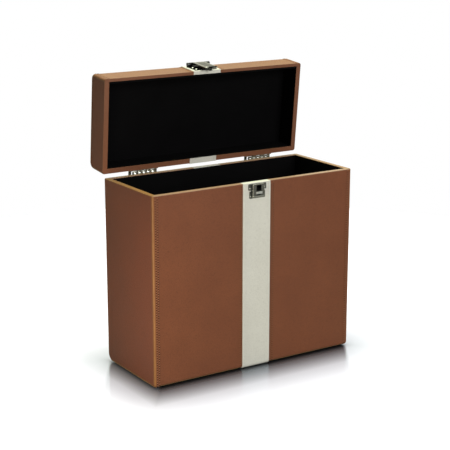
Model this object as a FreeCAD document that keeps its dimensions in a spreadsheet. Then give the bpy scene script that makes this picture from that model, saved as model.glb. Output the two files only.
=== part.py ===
import FreeCAD, Part
import os
import re

import Sketcher

# Record carrying case, millimetres. X runs along the front, -Y is the front, +Z is up, and the origin
# is the middle of the underside. Every piece is drawn with the lid closed, and what rides on the lid is
# then turned back with it about the hinge pins, to the open position in which the model is kept.

SIZES = [
    ("case_width", 368, "over the leather, side to side"),
    ("case_depth", 151, "over the leather, front to back"),
    ("body_height", 298, "lower half, from its underside to its rim"),
    ("lid_height", 44, "upper half, from its rim to its top"),
    ("lid_open_angle", 84.4, "where the hinge stops hold the open lid"),
    ("leather", 1, "thickness of the covering"),
    ("board", 6, "thickness of the boards"),
    ("lining", 1, "thickness of the lining"),
    ("rim_strip", 1, "thickness of the binding on the rims"),
    ("rim_gap", 0.3, "between the two rims when shut"),
    ("edge_radius", 3.5, "round of the side edges"),
    ("body_front_radius", 5, "round under the front"),
    ("body_back_radius", 13, "round under the back"),
    ("lid_front_radius", 8, "round above the front"),
    ("lid_back_radius", 10, "round above the back"),
    ("edge_binding_width", 4.5, "legs of the binding along the side edges"),
    ("base_sheet_thickness", 2, "sheet under the case"),
    ("base_sheet_margin", 9, "from the edge of the case to the base sheet"),
    ("band_width", 51, "white band"),
    ("band_thickness", 1, "white band"),
    ("rivet_head_radius", 1.7, "domed rivets"),
    ("rivet_shank_radius", 0.8, "domed rivets"),
    ("rivet_length", 5.5, "shank below the head"),
    ("rivet_fit", 0.05, "radial room of a rivet in its hole"),
    ("rivet_tip_room", 0.3, "hole beyond the end of a rivet"),
    ("pin_fit", 0.02, "radial room of a pin where it is fixed"),
    ("running_fit", 0.06, "radial room of a pin where it turns"),
    ("hinge_inset", 74, "middle of a hinge from the side of the case"),
    ("hinge_leaf_width", 52, "along the pin"),
    ("hinge_leaf_height", 25, "each leaf, from the rim"),
    ("hinge_leaf_thickness", 1.5, "hinge leaves"),
    ("hinge_axis_offset", 5, "pin behind the leather"),
    ("hinge_knuckle_radius", 3.3, "hinge knuckles"),
    ("hinge_knuckle_length", 7.6, "each of five knuckles"),
    ("hinge_knuckle_gap", 0.4, "between knuckles"),
    ("hinge_leaf_setback", 1, "edge of a leaf from the pin's centre"),
    ("hinge_pin_radius", 1.5, "hinge pins"),
    ("hinge_rivet_spacing", 16, "between the rivets of a leaf"),
    ("hinge_rivet_rise", 15, "rivets of a leaf from the pin's centre"),
    ("pin_overhang", 0.6, "end of a pin beyond its knuckles"),
    ("stop_tab_width", 4.5, "tabs that stop the lid"),
    ("stop_tab_reach", 4, "lid tab beyond the pin's centre"),
    ("stop_tab_lift", 4, "lid tab above the pin's centre"),
    ("stop_tab_inset", 0.5, "tabs from the ends of their leaf"),
    ("stop_tab_beyond", 0.6, "body tab beyond the lid tab's far corner"),
    ("stop_clearance", 0.2, "between the tabs of the open lid"),
    ("latch_plate_thickness", 1, "base plate of the latch"),
    ("latch_drop", 1.5, "from the rim to the latch"),
    ("latch_ear_width", 33, "upper part of the base plate"),
    ("latch_ear_height", 10, "upper part of the base plate"),
    ("latch_skirt_width", 29, "lower part of the base plate"),
    ("latch_height", 23, "whole base plate"),
    ("latch_waist_margin", 0.8, "waist of the base plate beside the cover"),
    ("latch_waist_height", 1.6, "waist of the base plate below its ears"),
    ("latch_ear_rivet_drop", 7, "upper rivets below the top of the plate"),
    ("latch_skirt_rivet_rise", 3.2, "lower rivets above the foot of the plate"),
    ("latch_cover_width", 21, "raised cover"),
    ("latch_cover_height", 21.5, "raised cover"),
    ("latch_cover_drop", 0.5, "raised cover below the top of its plate"),
    ("latch_cover_rise", 4.5, "raised cover above its plate"),
    ("latch_cover_wall", 0.9, "sheet of the cover"),
    ("latch_cover_chin", 3.5, "round at the foot of the cover"),
    ("latch_window_width", 9, "opening for the hasp's tongue"),
    ("latch_window_height", 9.2, "opening for the hasp's tongue"),
    ("latch_window_drop", 1.9, "from the top of the plate to the opening"),
    ("bolt_travel", 2.5, "how far the thumb bar goes down"),
    ("bolt_plate_thickness", 1.2, "sliding bolt"),
    ("bolt_plate_width", 10, "sliding bolt"),
    ("bolt_shoulder_width", 18.4, "arms that the springs push on"),
    ("bolt_shoulder_drop", 1, "arms below the top of the bolt"),
    ("bolt_shoulder_height", 1.6, "arms that the springs push on"),
    ("bolt_tail", 0.6, "bolt below the neck of the thumb bar"),
    ("bolt_nose_width", 4.4, "end that holds the tongue"),
    ("bolt_nose_rise", 1.2, "end that holds the tongue, out from the bolt"),
    ("thumb_bar_width", 10.8, "thumb bar"),
    ("thumb_bar_height", 3.2, "thumb bar"),
    ("thumb_bar_thickness", 1.5, "thumb bar"),
    ("thumb_bar_drop", 1.2, "thumb bar below the tongue's opening"),
    ("thumb_neck_width", 6.4, "neck of the thumb bar"),
    ("thumb_neck_inset", 0.5, "neck inside the thumb bar, above and below"),
    ("slide_gap", 0.3, "room round the moving parts of the latch"),
    ("spring_radius", 0.8, "middle of the wire to the middle of the coil"),
    ("spring_wire_radius", 0.18, "latch springs"),
    ("spring_pitch", 1.1, "latch springs"),
    ("spring_offset", 0.4, "spring beyond the middle of the arm"),
    ("spring_back_room", 0.1, "between spring and base plate"),
    ("hasp_width", 23, "hasp"),
    ("hasp_thickness", 1.2, "hasp and its leaf"),
    ("hasp_reach", 12.8, "hasp below the rim of the body"),
    ("hasp_lip_length", 2.6, "lip for the finger"),
    ("hasp_lip_flare", 2.2, "lip for the finger, outward"),
    ("hasp_lip_width", 14, "lip for the finger"),
    ("hasp_lip_root", 1, "lip above the tip of the hasp"),
    ("hasp_barrel_height", 29, "barrel above the lid's rim"),
    ("hasp_barrel_radius", 3, "barrel"),
    ("hasp_barrel_room", 0.2, "between barrel and leaf"),
    ("hasp_web_height", 3.6, "web from the leaf to the barrel"),
    ("hasp_leaf_width", 41, "leaf on the lid"),
    ("hasp_leaf_margin", 3, "leaf above the lid's rim"),
    ("hasp_rivet_rise", 5.2, "lower rivets above the foot of the leaf"),
    ("hasp_rivet_spacing", 10.9, "between the rows of rivets"),
    ("hasp_pin_radius", 1.25, "pin of the hasp"),
    ("hasp_side_gap", 0.4, "between the barrel's parts"),
    ("tongue_width", 5.2, "tongue behind the hasp"),
    ("tongue_height", 5.6, "tongue behind the hasp"),
    ("tongue_top_room", 1, "opening above the tongue"),
    ("tongue_notch_depth", 1.7, "notch that the bolt holds"),
    ("tongue_toe", 1, "thickness beyond the notch"),
    ("handle_spacing", 120, "between the middles of the two brackets' lugs"),
    ("handle_reach", 36, "from the brackets' axis to the middle of the grip"),
    ("handle_wire_radius", 2, "bail"),
    ("handle_leg_inset", 6, "leg of the bail inside its lug's middle"),
    ("handle_overhang", 0.8, "end of the bail beyond its lug"),
    ("handle_bend_radius", 3.5, "bends at the brackets"),
    ("handle_corner_radius", 8, "bends beside the grip"),
    ("grip_length", 88, "grip"),
    ("grip_radius", 7.5, "middle of the grip"),
    ("grip_end_radius", 5, "ends of the grip"),
    ("grip_taper", 6, "length of each tapered end"),
    ("grip_clearance", 0.4, "between the folded grip and the band"),
    ("bracket_width", 17, "along the case"),
    ("bracket_depth", 22, "front to back"),
    ("bracket_thickness", 1.2, "foot of the bracket"),
    ("bracket_heel", 0.5, "foot inside the lug"),
    ("bracket_rivet_spacing", 12, "between a bracket's two rivets"),
    ("lug_thickness", 5, "bracket's lug"),
    ("lug_radius", 4.4, "round of the lug about its bore"),
    ("corner_round", 1.6, "corners of the small plates"),
    ("soft_edge", 0.5, "eased edges of the metal"),
]

doc = FreeCAD.newDocument("record_carrying_case")
sheet = doc.addObject("Spreadsheet::Sheet", "Sizes")
for row, (alias, value, note) in enumerate(SIZES, 1):
    sheet.set(f"A{row}", alias)
    sheet.set(f"B{row}", str(value))
    sheet.setAlias(f"B{row}", alias)
    sheet.set(f"C{row}", note)
doc.recompute()
ALIASES = {alias for alias, _, _ in SIZES}

# ------------------------------------------------------------------ places worked out from the sizes
half_width = "(case_width / 2)"
half_depth = "(case_depth / 2)"
wall = "(leather + board + lining)"
body_rim = "(base_sheet_thickness + body_height)"
lid_rim = f"({body_rim} + rim_gap)"
lid_top = f"({lid_rim} + lid_height)"
hinge_y = f"({half_depth} + hinge_axis_offset)"
hinge_z = f"({body_rim} + rim_gap / 2)"
band_face = f"({half_depth} + band_thickness)"

BEYOND = "2"  # how far a cutting shape runs past what it cuts


def formula(text):
    """The text with each size written as a cell of the sheet."""
    return re.sub(r"[a-z_]+", lambda word: f"Sizes.{word[0]}" if word[0] in ALIASES else word[0], text)


def number(text):
    """What a formula comes to."""
    return float(sheet.evalExpression(formula(text)))


poses = doc.addObject("App::VarSet", "Poses")
poses.addProperty("App::PropertyPlacement", "lid")
lid_turn = "rotation(vector(1; 0; 0); -lid_open_angle)"
lid_centre = f"vector(0; {hinge_y}; {hinge_z})"
poses.setExpression("lid", formula(f"placement(vector(0; 0; 0); {lid_turn}; {lid_centre})"))


# ------------------------------------------------------------------------------- ways to make a shape
def at(piece, x, y, z, turn="rotation(vector(0; 0; 1); 0)"):
    """Places a primitive."""
    piece.setExpression("Placement", formula(f"placement(vector({x}; {y}; {z}); {turn})"))
    return piece


def box(x, y, z):
    """A block between the low and high formulas of each axis."""
    piece = doc.addObject("Part::Box", "block")
    for side, (low, high) in zip(("Length", "Width", "Height"), (x, y, z)):
        piece.setExpression(side, formula(f"{high} - ({low})"))
    return at(piece, x[0], y[0], z[0])


TURNS = {
    "front": "rotation(vector(1; 0; 0); 90)",
    "back": "rotation(vector(1; 0; 0); -90)",
    "top": "rotation(vector(1; 0; 0); 0)",
    "right": "rotation(vector(0; 1; 0); 90)",
}


def rod(radius, length, x, y, z, way):
    """A cylinder that starts at a point and runs the way given."""
    piece = doc.addObject("Part::Cylinder", "rod")
    piece.setExpression("Radius", formula(radius))
    piece.setExpression("Height", formula(length))
    return at(piece, x, y, z, TURNS[way])


def cut(base, *tools):
    """The base less each tool in turn."""
    for tool in tools:
        piece = doc.addObject("Part::Cut", "cut")
        piece.Base, piece.Tool = base, tool
        piece.Refine = True
        base = piece
    return base


def together(kind, pieces):
    """Several shapes fused, kept in common or grouped, as the object type says."""
    piece = doc.addObject(kind, "joined")
    if kind == "Part::Compound":
        piece.Links = pieces
    else:
        piece.Shapes = pieces
        piece.Refine = True
    return piece


def fuse(*pieces):
    return together("Part::MultiFuse", list(pieces))


def common(*pieces):
    return together("Part::MultiCommon", list(pieces))


def group(pieces):
    return together("Part::Compound", list(pieces))


def sketch_on(body, plane, offset, points):
    """A closed outline through the points, whose coordinates are formulas, on one of the body's planes."""
    sketch = body.newObject("Sketcher::SketchObject", "outline")
    support = [item for item in body.Origin.OriginFeatures if item.Role == plane][0]
    sketch.AttachmentSupport = (support, [""])
    sketch.MapMode = "FlatFace"
    sketch.setExpression("AttachmentOffset.Base.z", formula(offset))
    corners = [FreeCAD.Vector(number(u), number(v), 0) for u, v in points]
    count = len(corners)
    for i in range(count):
        sketch.addGeometry(Part.LineSegment(corners[i], corners[(i + 1) % count]), False)
    for i in range(count):
        sketch.addConstraint(Sketcher.Constraint("Coincident", i, 2, (i + 1) % count, 1))
    for i, (u, v) in enumerate(points):
        for kind, value, text in (("DistanceX", corners[i].x, u), ("DistanceY", corners[i].y, v)):
            index = sketch.addConstraint(Sketcher.Constraint(kind, -1, 1, i, 1, value))
            sketch.setExpression(f"Constraints[{index}]", formula(text))
    return sketch


def rectangle(u, v):
    return [(u[0], v[0]), (u[1], v[0]), (u[1], v[1]), (u[0], v[1])]


def pad(body, plane, points, low, high):
    """Adds the outline's solid between two distances along the plane's normal."""
    feature = body.newObject("PartDesign::Pad", "pad")
    feature.Profile = sketch_on(body, plane, low, points)
    feature.setExpression("Length", formula(f"{high} - ({low})"))
    doc.recompute()
    return feature


def pocket(body, plane, points, low, high):
    """Takes the outline's solid away between two distances along the plane's normal."""
    before = body.Shape.Volume
    feature = body.newObject("PartDesign::Pocket", "pocket")
    feature.Profile = sketch_on(body, plane, high, points)
    feature.setExpression("Length", formula(f"{high} - ({low})"))
    doc.recompute()
    if body.Shape.Volume > before - 1e-6:
        raise RuntimeError("a pocket cut nothing")
    return feature


def round_edges(body, radius, chosen):
    """Rounds the edges of the body that the test chooses, if the radius leaves anything to round."""
    if number(radius) < 0.05:
        return
    doc.recompute()
    base = body.Tip
    names = [f"Edge{i}" for i, edge in enumerate(base.Shape.Edges, 1) if chosen(edge)]
    feature = body.newObject("PartDesign::Fillet", "round")
    feature.Base = (base, names)
    feature.setExpression("Radius", formula(radius))
    doc.recompute()


def flat_at(edge, axis, value):
    """Whether an edge lies in the plane where the axis has the value."""
    extent = edge.BoundBox
    low, high = getattr(extent, f"{axis}Min"), getattr(extent, f"{axis}Max")
    return abs(low - value) < 1e-4 and abs(high - value) < 1e-4


def runs_along(edge, axis):
    """Whether an edge is straight and parallel to the axis."""
    extent = edge.BoundBox
    others = [getattr(extent, f"{other}Length") for other in "XYZ" if other != axis]
    return max(others) < 1e-4


nodes = []


def node(name, piece, rides_on="body"):
    """Names a finished sub-part, and turns it back with the lid if it rides there."""
    if rides_on == "lid":
        if piece.TypeId == "Part::Cylinder":  # its own placement is taken
            piece = group([piece])
        piece.setExpression("Placement", "Poses.lid")
    piece.Label = name
    nodes.append(piece)


# ------------------------------------------------- the two halves, as nested envelopes and their shells
HALVES = {
    "body": {
        "closed": "base_sheet_thickness",
        "open": f"({body_rim} - rim_strip)",
        "inward": 1,
        "front": "body_front_radius",
        "back": "body_back_radius",
    },
    "lid": {
        "closed": lid_top,
        "open": f"({lid_rim} + rim_strip)",
        "inward": -1,
        "front": "lid_front_radius",
        "back": "lid_back_radius",
    },
}


def envelope(half, inset, past_rim="0"):
    """The rounded block of one half, drawn in from the leather's outside by the inset."""
    place = HALVES[half]
    inward = place["inward"]
    closed = f"({place['closed']} + {inward} * ({inset}))"
    opening = f"({place['open']} + {inward} * ({past_rim}))"
    side = f"({half_width} - ({inset}))"
    face = f"({half_depth} - ({inset}))"
    body = doc.addObject("PartDesign::Body", f"{half}_envelope")
    low, high = (closed, opening) if inward > 0 else (opening, closed)
    pad(body, "XY_Plane", rectangle((f"-{side}", side), (f"-{face}", face)), low, high)
    closed_z, open_z = number(closed), number(opening)
    for y, radius in ((f"-{face}", place["front"]), (face, place["back"])):
        round_edges(
            body,
            f"{radius} - ({inset})",
            lambda edge: flat_at(edge, "Y", number(y)) and flat_at(edge, "Z", closed_z),
        )
    round_edges(
        body,
        f"edge_radius - ({inset})",
        lambda edge: (flat_at(edge, "X", number(side)) or flat_at(edge, "X", -number(side)))
        and not flat_at(edge, "Z", open_z),
    )
    return body


def shell(half, outside, inside):
    """What lies between two envelopes of one half."""
    return cut(envelope(half, outside), envelope(half, inside, BEYOND))


inner_side = f"({half_width} - leather - board)"
inner_face = f"({half_depth} - leather - board)"
outer_side = f"({half_width} + {BEYOND})"
outer_face = f"({half_depth} + {BEYOND})"
SIDES = {"left": -1, "right": 1}


def span(side, near, far):
    """The low and high formulas between two distances on the left or the right."""
    return (f"-{far}", f"-{near}") if SIDES[side] < 0 else (near, far)


# -------------------------------------------------------------------------------------------- rivets
def rivets(places, way, seat):
    """Domed rivets whose heads sit on the seat, and the holes for their shanks."""
    made, holes = [], []
    hole_length = "(rivet_length + rivet_tip_room)"
    for u, v in places:

        def spot(depth):
            """The point that lies below the seat by the depth."""
            reach = f"({seat} - ({depth}))"
            return {"front": (u, f"-{reach}", v), "back": (u, reach, v), "top": (u, v, reach)}[way]

        head = doc.addObject("Part::Sphere", "head")
        head.setExpression("Radius", formula("rivet_head_radius / cos(45)"))
        head.Angle1 = 45
        at(head, *spot("rivet_head_radius"), TURNS[way])
        shank = rod("rivet_shank_radius", "rivet_length", *spot("rivet_length"), way)
        made.append(fuse(head, shank))
        hole_radius = "rivet_shank_radius + rivet_fit"
        holes.append(rod(hole_radius, f"{hole_length} + {BEYOND}", *spot(hole_length), way))
    return group(made), group(holes)


hinge_places = [f"{sign} * ({half_width} - hinge_inset)" for sign in (-1, 1)]
hinge_rivet_x = [f"({x} + {step} * hinge_rivet_spacing)" for x in hinge_places for step in (-1, 0, 1)]
hinge_seat = f"({half_depth} + hinge_leaf_thickness)"
body_row = [(x, f"({hinge_z} - hinge_rivet_rise)") for x in hinge_rivet_x]
hinge_body_rivets, hinge_body_holes = rivets(body_row, "back", hinge_seat)
lid_row = [(x, f"({hinge_z} + hinge_rivet_rise)") for x in hinge_rivet_x]
hinge_lid_rivets, hinge_lid_holes = rivets(lid_row, "back", hinge_seat)

latch_top = f"({body_rim} - latch_drop)"
ear_rivet_x = "((latch_ear_width + latch_cover_width) / 4)"
skirt_rivet_x = "((latch_skirt_width + latch_cover_width) / 4)"
latch_places = [
    (f"{sign} * {x}", f"{latch_top} - {drop}")
    for x, drop in (
        (ear_rivet_x, "latch_ear_rivet_drop"),
        (skirt_rivet_x, "(latch_height - latch_skirt_rivet_rise)"),
    )
    for sign in (-1, 1)
]
latch_seat = f"({band_face} + latch_plate_thickness)"
latch_rivets, latch_holes = rivets(latch_places, "front", latch_seat)

hasp_foot = f"({lid_rim} + hasp_leaf_margin)"
hasp_axis_z = f"({lid_rim} + hasp_barrel_height)"
hasp_rivet_x = "((hasp_leaf_width + hasp_width) / 4)"
hasp_places = [
    (f"{sign} * {hasp_rivet_x}", f"{hasp_foot} + hasp_rivet_rise + {row} * hasp_rivet_spacing")
    for row in (0, 1)
    for sign in (-1, 1)
]
hasp_seat = f"({band_face} + hasp_thickness)"
hasp_rivets, hasp_holes = rivets(hasp_places, "front", hasp_seat)

lug_x = "(handle_spacing / 2)"
bracket_inner = f"({lug_x} - lug_thickness / 2 - bracket_heel)"
bracket_outer = f"({bracket_inner} + bracket_width)"
bracket_rivet_x = f"(({bracket_outer} + {lug_x} + lug_thickness / 2) / 2)"
bracket_places = [
    (f"{sign} * {bracket_rivet_x}", f"{row} * bracket_rivet_spacing / 2")
    for sign in (-1, 1)
    for row in (-1, 1)
]
bracket_rivets, bracket_holes = rivets(bracket_places, "top", f"({lid_top} + bracket_thickness)")

# ---------------------------------------------------------------- boards of the lower half and the lid
across = (f"-{inner_side}", inner_side)
whole_depth = (f"-{outer_face}", outer_face)


def boards(half, panels, holes):
    """Cuts one half's carcass into its boards, side boards first, and drills those that are riveted."""
    carcass = shell(half, "leather", "leather + board")
    for side in SIDES:
        block = box(span(side, inner_side, outer_side), whole_depth, panels["side"])
        node(f"{half}_{side}_board", common(carcass, block), half)
    for name, (y, z) in panels["between"].items():
        board = common(carcass, box(across, y, z))
        node(f"{half}_{name}", cut(board, *holes.get(name, [])), half)


body_floor = "(base_sheet_thickness + leather + board)"
body_low = f"(base_sheet_thickness - {BEYOND})"
body_bend_z = "(base_sheet_thickness + body_back_radius)"
body_bend_y = f"({half_depth} - body_back_radius)"
front_layer = (f"-{outer_face}", f"-{inner_face}")
back_layer = (inner_face, outer_face)
boards(
    "body",
    {
        "side": (body_low, body_rim),
        "between": {
            "front_board": (front_layer, (body_low, body_rim)),
            "back_board": (back_layer, (body_bend_z, body_rim)),
            "bottom_board": ((f"-{inner_face}", body_bend_y), (body_low, body_floor)),
            "back_corner_rail": ((body_bend_y, outer_face), (body_low, body_bend_z)),
        },
    },
    {"front_board": [latch_holes], "back_board": [hinge_body_holes]},
)

lid_high = f"({lid_top} + {BEYOND})"
lid_ceiling = f"({lid_top} - leather - board)"
lid_front_z = f"({lid_top} - lid_front_radius)"
lid_back_z = f"({lid_top} - lid_back_radius)"
lid_front_y = f"({half_depth} - lid_front_radius)"
lid_back_y = f"({half_depth} - lid_back_radius)"
boards(
    "lid",
    {
        "side": (lid_rim, lid_high),
        "between": {
            "front_board": (front_layer, (lid_rim, lid_front_z)),
            "back_board": (back_layer, (lid_rim, lid_back_z)),
            "top_board": ((f"-{lid_front_y}", lid_back_y), (lid_ceiling, lid_high)),
            "front_corner_rail": ((f"-{outer_face}", f"-{lid_front_y}"), (lid_front_z, lid_high)),
            "back_corner_rail": ((lid_back_y, outer_face), (lid_back_z, lid_high)),
        },
    },
    {"front_board": [hasp_holes], "back_board": [hinge_lid_holes], "top_board": [bracket_holes]},
)


# -------------------------------------------------------------- leathercloth, bindings and the linings
def side_cover(half, side):
    """The flat panel on a side, inside the legs of the edge binding."""
    inset = "edge_binding_width"
    place = HALVES[half]
    closed = f"({place['closed']} + {place['inward']} * {inset})"
    face = f"({half_depth} - {inset})"
    low, high = (closed, place["open"]) if place["inward"] > 0 else (place["open"], closed)
    body = doc.addObject("PartDesign::Body", f"{half}_{side}_panel")
    x = span(side, f"({half_width} - leather)", half_width)
    pad(body, "YZ_Plane", rectangle((f"-{face}", face), (low, high)), *x)
    for y, radius in ((f"-{face}", place["front"]), (face, place["back"])):
        round_edges(
            body,
            f"{radius} - {inset}",
            lambda edge: flat_at(edge, "Y", number(y)) and flat_at(edge, "Z", number(closed)),
        )
    return body


def covering(half, z, holes):
    """The wrap round front, closed face and back, the two side panels and the bindings between them."""
    skin = shell(half, "0", "leather")
    flank = f"({half_width} - edge_binding_width)"
    wrap = common(skin, box((f"-{flank}", flank), whole_depth, z))
    node(f"{half}_wrap", cut(wrap, *holes), half)
    for side in SIDES:
        panel = side_cover(half, side)
        node(f"{half}_{side}_cover", group([panel]), half)
        edge = common(skin, box(span(side, flank, outer_side), whole_depth, z))
        node(f"{half}_{side}_edge_binding", cut(edge, panel), half)


def rim_bindings(half, z):
    """The strips on a rim, left and right of the band."""
    ring = doc.addObject("PartDesign::Body", f"{half}_rim")
    outline = rectangle((f"-{half_width}", half_width), (f"-{half_depth}", half_depth))
    pad(ring, "XY_Plane", outline, *z)
    round_edges(ring, "edge_radius", lambda edge: runs_along(edge, "Z"))
    inner_x, inner_y = f"({half_width} - {wall})", f"({half_depth} - {wall})"
    past = (f"{z[0]} - {BEYOND}", f"{z[1]} + {BEYOND}")
    mouth = box((f"-{inner_x}", inner_x), (f"-{inner_y}", inner_y), past)
    notch = box(("-band_width / 2", "band_width / 2"), whole_depth, past)
    strip = cut(ring, mouth, notch)
    for side in SIDES:
        its_side = box(span(side, "0", outer_side), whole_depth, past)
        node(f"{half}_{side}_rim_binding", common(strip, its_side), half)


covering("body", (body_low, body_rim), [latch_holes, hinge_body_holes])
covering("lid", (lid_rim, lid_high), [hasp_holes, hinge_lid_holes, bracket_holes])
rim_bindings("body", (f"{body_rim} - rim_strip", body_rim))
rim_bindings("lid", (lid_rim, f"{lid_rim} + rim_strip"))
for half in HALVES:
    node(f"{half}_lining", shell(half, "leather + board", wall), half)

base_side = f"({half_width} - base_sheet_margin)"
base_face = f"({half_depth} - base_sheet_margin)"
base_sheet = box((f"-{base_side}", base_side), (f"-{base_face}", base_face), ("0", "base_sheet_thickness"))
node("base_sheet", base_sheet)

# ------------------------------------------------------------------------------------- the white band
band_x = ("-band_width / 2", "band_width / 2")


def band_skin(half):
    """The band's layer over one half, to the rim binding."""
    return shell(half, "-band_thickness", "0")


def rim_fold(face, z):
    """The band turned over the rim on the front or the back."""
    inner = f"({half_depth} - {wall})"
    y = (inner, band_face) if face == "back" else (f"-{band_face}", f"-{inner}")
    return box(band_x, y, z)


def body_band(face, holes):
    """The band from under the base sheet's edge, up one face and over the rim."""
    far = f"({band_face} + {BEYOND})"
    y = (base_face, far) if face == "back" else (f"-{far}", f"-{base_face}")
    strip = common(band_skin("body"), box(band_x, y, (body_low, body_rim)))
    fold = rim_fold(face, (f"{body_rim} - rim_strip", body_rim))
    node(f"body_{face}_band", cut(fuse(strip, fold), *holes))


body_band("front", [latch_holes])
body_band("back", [])
band_reach = (f"-({band_face} + {BEYOND})", f"({band_face} + {BEYOND})")
lid_strip = common(band_skin("lid"), box(band_x, band_reach, (lid_rim, lid_high)))
lid_folds = [rim_fold(face, (lid_rim, f"{lid_rim} + rim_strip")) for face in ("front", "back")]
node("lid_band", cut(fuse(lid_strip, *lid_folds), hasp_holes), "lid")

# ---------------------------------------------------------------------------------------- the hinges
knuckle_step = "(hinge_knuckle_length + hinge_knuckle_gap)"
hinge_plate_y = (half_depth, f"({half_depth} + hinge_leaf_thickness)")
tab_rise = "(stop_tab_lift + hinge_leaf_thickness)"
tab_far = f"(stop_tab_reach * cos(lid_open_angle) + {tab_rise} * sin(lid_open_angle))"
tab_drop = "(stop_tab_reach * sin(lid_open_angle) - stop_tab_lift * cos(lid_open_angle) + stop_clearance)"


def hinge_leaf(part, x):
    """A leaf with its knuckles about the pin, and the two tabs that stop the lid when it is open."""
    up = part == "lid"
    edge = f"({hinge_z} + hinge_leaf_setback)" if up else f"({hinge_z} - hinge_leaf_setback)"
    far = f"({hinge_z} + hinge_leaf_height)" if up else f"({hinge_z} - hinge_leaf_height)"
    half_leaf = "(hinge_leaf_width / 2)"
    body = doc.addObject("PartDesign::Body", f"{part}_leaf")
    z = (edge, far) if up else (far, edge)
    plate = rectangle((f"{x} - {half_leaf}", f"{x} + {half_leaf}"), z)
    pad(body, "XZ_Plane", plate, f"-({hinge_plate_y[1]})", f"-{hinge_plate_y[0]}")
    round_edges(
        body,
        "corner_round",
        lambda edge: runs_along(edge, "Y") and abs(edge.BoundBox.ZMin - number(far)) < 1e-4,
    )
    pieces = [body]
    web = "hinge_knuckle_radius"
    web_z = (f"{hinge_z}", f"{hinge_z} + {web}") if up else (f"{hinge_z} - {web}", f"{hinge_z}")
    steps = (-1, 1) if up else (-2, 0, 2)
    for step in steps:
        start = f"({x} + {step} * {knuckle_step} - hinge_knuckle_length / 2)"
        pieces.append(rod("hinge_knuckle_radius", "hinge_knuckle_length", start, hinge_y, hinge_z, "right"))
        pieces.append(box((start, f"{start} + hinge_knuckle_length"), (half_depth, hinge_y), web_z))
    for side in (-1, 1):
        outer = f"({x} + {side} * ({half_leaf} - stop_tab_inset))"
        inner = f"({x} + {side} * ({half_leaf} - stop_tab_inset - stop_tab_width))"
        tab_x = (outer, inner) if side < 0 else (inner, outer)
        if up:
            tab_y, low = f"{hinge_y} + stop_tab_reach", f"({hinge_z} + stop_tab_lift)"
            tab_z = (low, f"{low} + hinge_leaf_thickness")
        else:
            tab_y, high = f"{hinge_y} + {tab_far} + stop_tab_beyond", f"({hinge_z} - {tab_drop})"
            tab_z = (f"{high} - hinge_leaf_thickness", high)
        pieces.append(box(tab_x, (half_depth, tab_y), tab_z))
    bore_start = f"{x} - 3 * {knuckle_step}"
    room = "running_fit" if up else "pin_fit"
    bore = rod(f"hinge_pin_radius + {room}", f"6 * {knuckle_step}", bore_start, hinge_y, hinge_z, "right")
    return cut(fuse(*pieces), bore)


pin_length = f"(5 * {knuckle_step} - hinge_knuckle_gap + 2 * pin_overhang)"
hinge_pins = []
for side, x in zip(SIDES, hinge_places):
    node(f"{side}_hinge_body_leaf", cut(hinge_leaf("body", x), hinge_body_holes))
    node(f"{side}_hinge_lid_leaf", cut(hinge_leaf("lid", x), hinge_lid_holes), "lid")
    pin_start = f"({x} - {pin_length} / 2)"
    hinge_pins.append(rod("hinge_pin_radius", pin_length, pin_start, hinge_y, hinge_z, "right"))
node("hinge_pins", group(hinge_pins))
node("hinge_body_rivets", hinge_body_rivets)
node("hinge_lid_rivets", hinge_lid_rivets, "lid")

# -------------------------------------------------------------------------- the latch on the body
latch_foot = f"({latch_top} - latch_height)"
latch_base = doc.addObject("PartDesign::Body", "latch_base")
ear = ("-latch_ear_width / 2", "latch_ear_width / 2")
skirt = ("-latch_skirt_width / 2", "latch_skirt_width / 2")
ear_z = f"({latch_top} - latch_ear_height)"
waist = "(latch_cover_width / 2 + latch_waist_margin)"
waist_z = f"({ear_z} - latch_waist_height)"
latch_outline = [
    (ear[0], latch_top),
    (ear[1], latch_top),
    (ear[1], ear_z),
    (waist, ear_z),
    (waist, waist_z),
    (skirt[1], waist_z),
    (skirt[1], latch_foot),
    (skirt[0], latch_foot),
    (skirt[0], waist_z),
    (f"-{waist}", waist_z),
    (f"-{waist}", ear_z),
    (ear[0], ear_z),
]
pad(latch_base, "XZ_Plane", latch_outline, band_face, latch_seat)
corner_x = [number("latch_ear_width / 2"), number("latch_skirt_width / 2")]
round_edges(
    latch_base,
    "corner_round",
    lambda edge: runs_along(edge, "Y") and min(abs(abs(edge.BoundBox.XMin) - x) for x in corner_x) < 1e-4,
)
node("latch_base_plate", cut(latch_base, latch_holes))

cover_half = "(latch_cover_width / 2)"
cover_top = f"({latch_top} - latch_cover_drop)"
cover_foot = f"({cover_top} - latch_cover_height)"
cover_face = f"({latch_seat} + latch_cover_rise)"
inner_top = f"({cover_top} - latch_cover_wall)"
inner_foot = f"({cover_foot} + latch_cover_wall)"
inner_cover = f"({cover_face} - latch_cover_wall)"
cover = doc.addObject("PartDesign::Body", "cover")
cover_x = (f"-{cover_half}", cover_half)
pad(cover, "XZ_Plane", rectangle(cover_x, (cover_foot, cover_top)), latch_seat, cover_face)
round_edges(
    cover,
    "latch_cover_chin",
    lambda edge: flat_at(edge, "Z", number(cover_foot)) and flat_at(edge, "Y", -number(cover_face)),
)
round_edges(
    cover,
    "latch_cover_wall",
    lambda edge: edge.BoundBox.ZMax > number(cover_foot) + 1e-4
    and not flat_at(edge, "Y", -number(latch_seat)),
)
inner_chin = "(latch_cover_chin - latch_cover_wall)"
hollow = [
    (f"-{latch_seat}", inner_top),
    (f"-{inner_cover}", inner_top),
    (f"-{inner_cover}", f"{inner_foot} + {inner_chin}"),
    (f"-({inner_cover} - {inner_chin} * (1 - cos(45)))", f"{inner_foot} + {inner_chin} * (1 - cos(45))"),
    (f"-({inner_cover} - {inner_chin})", inner_foot),
    (f"-{latch_seat}", inner_foot),
]
pocket(cover, "YZ_Plane", hollow, f"-({cover_half} - latch_cover_wall)", f"{cover_half} - latch_cover_wall")
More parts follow.
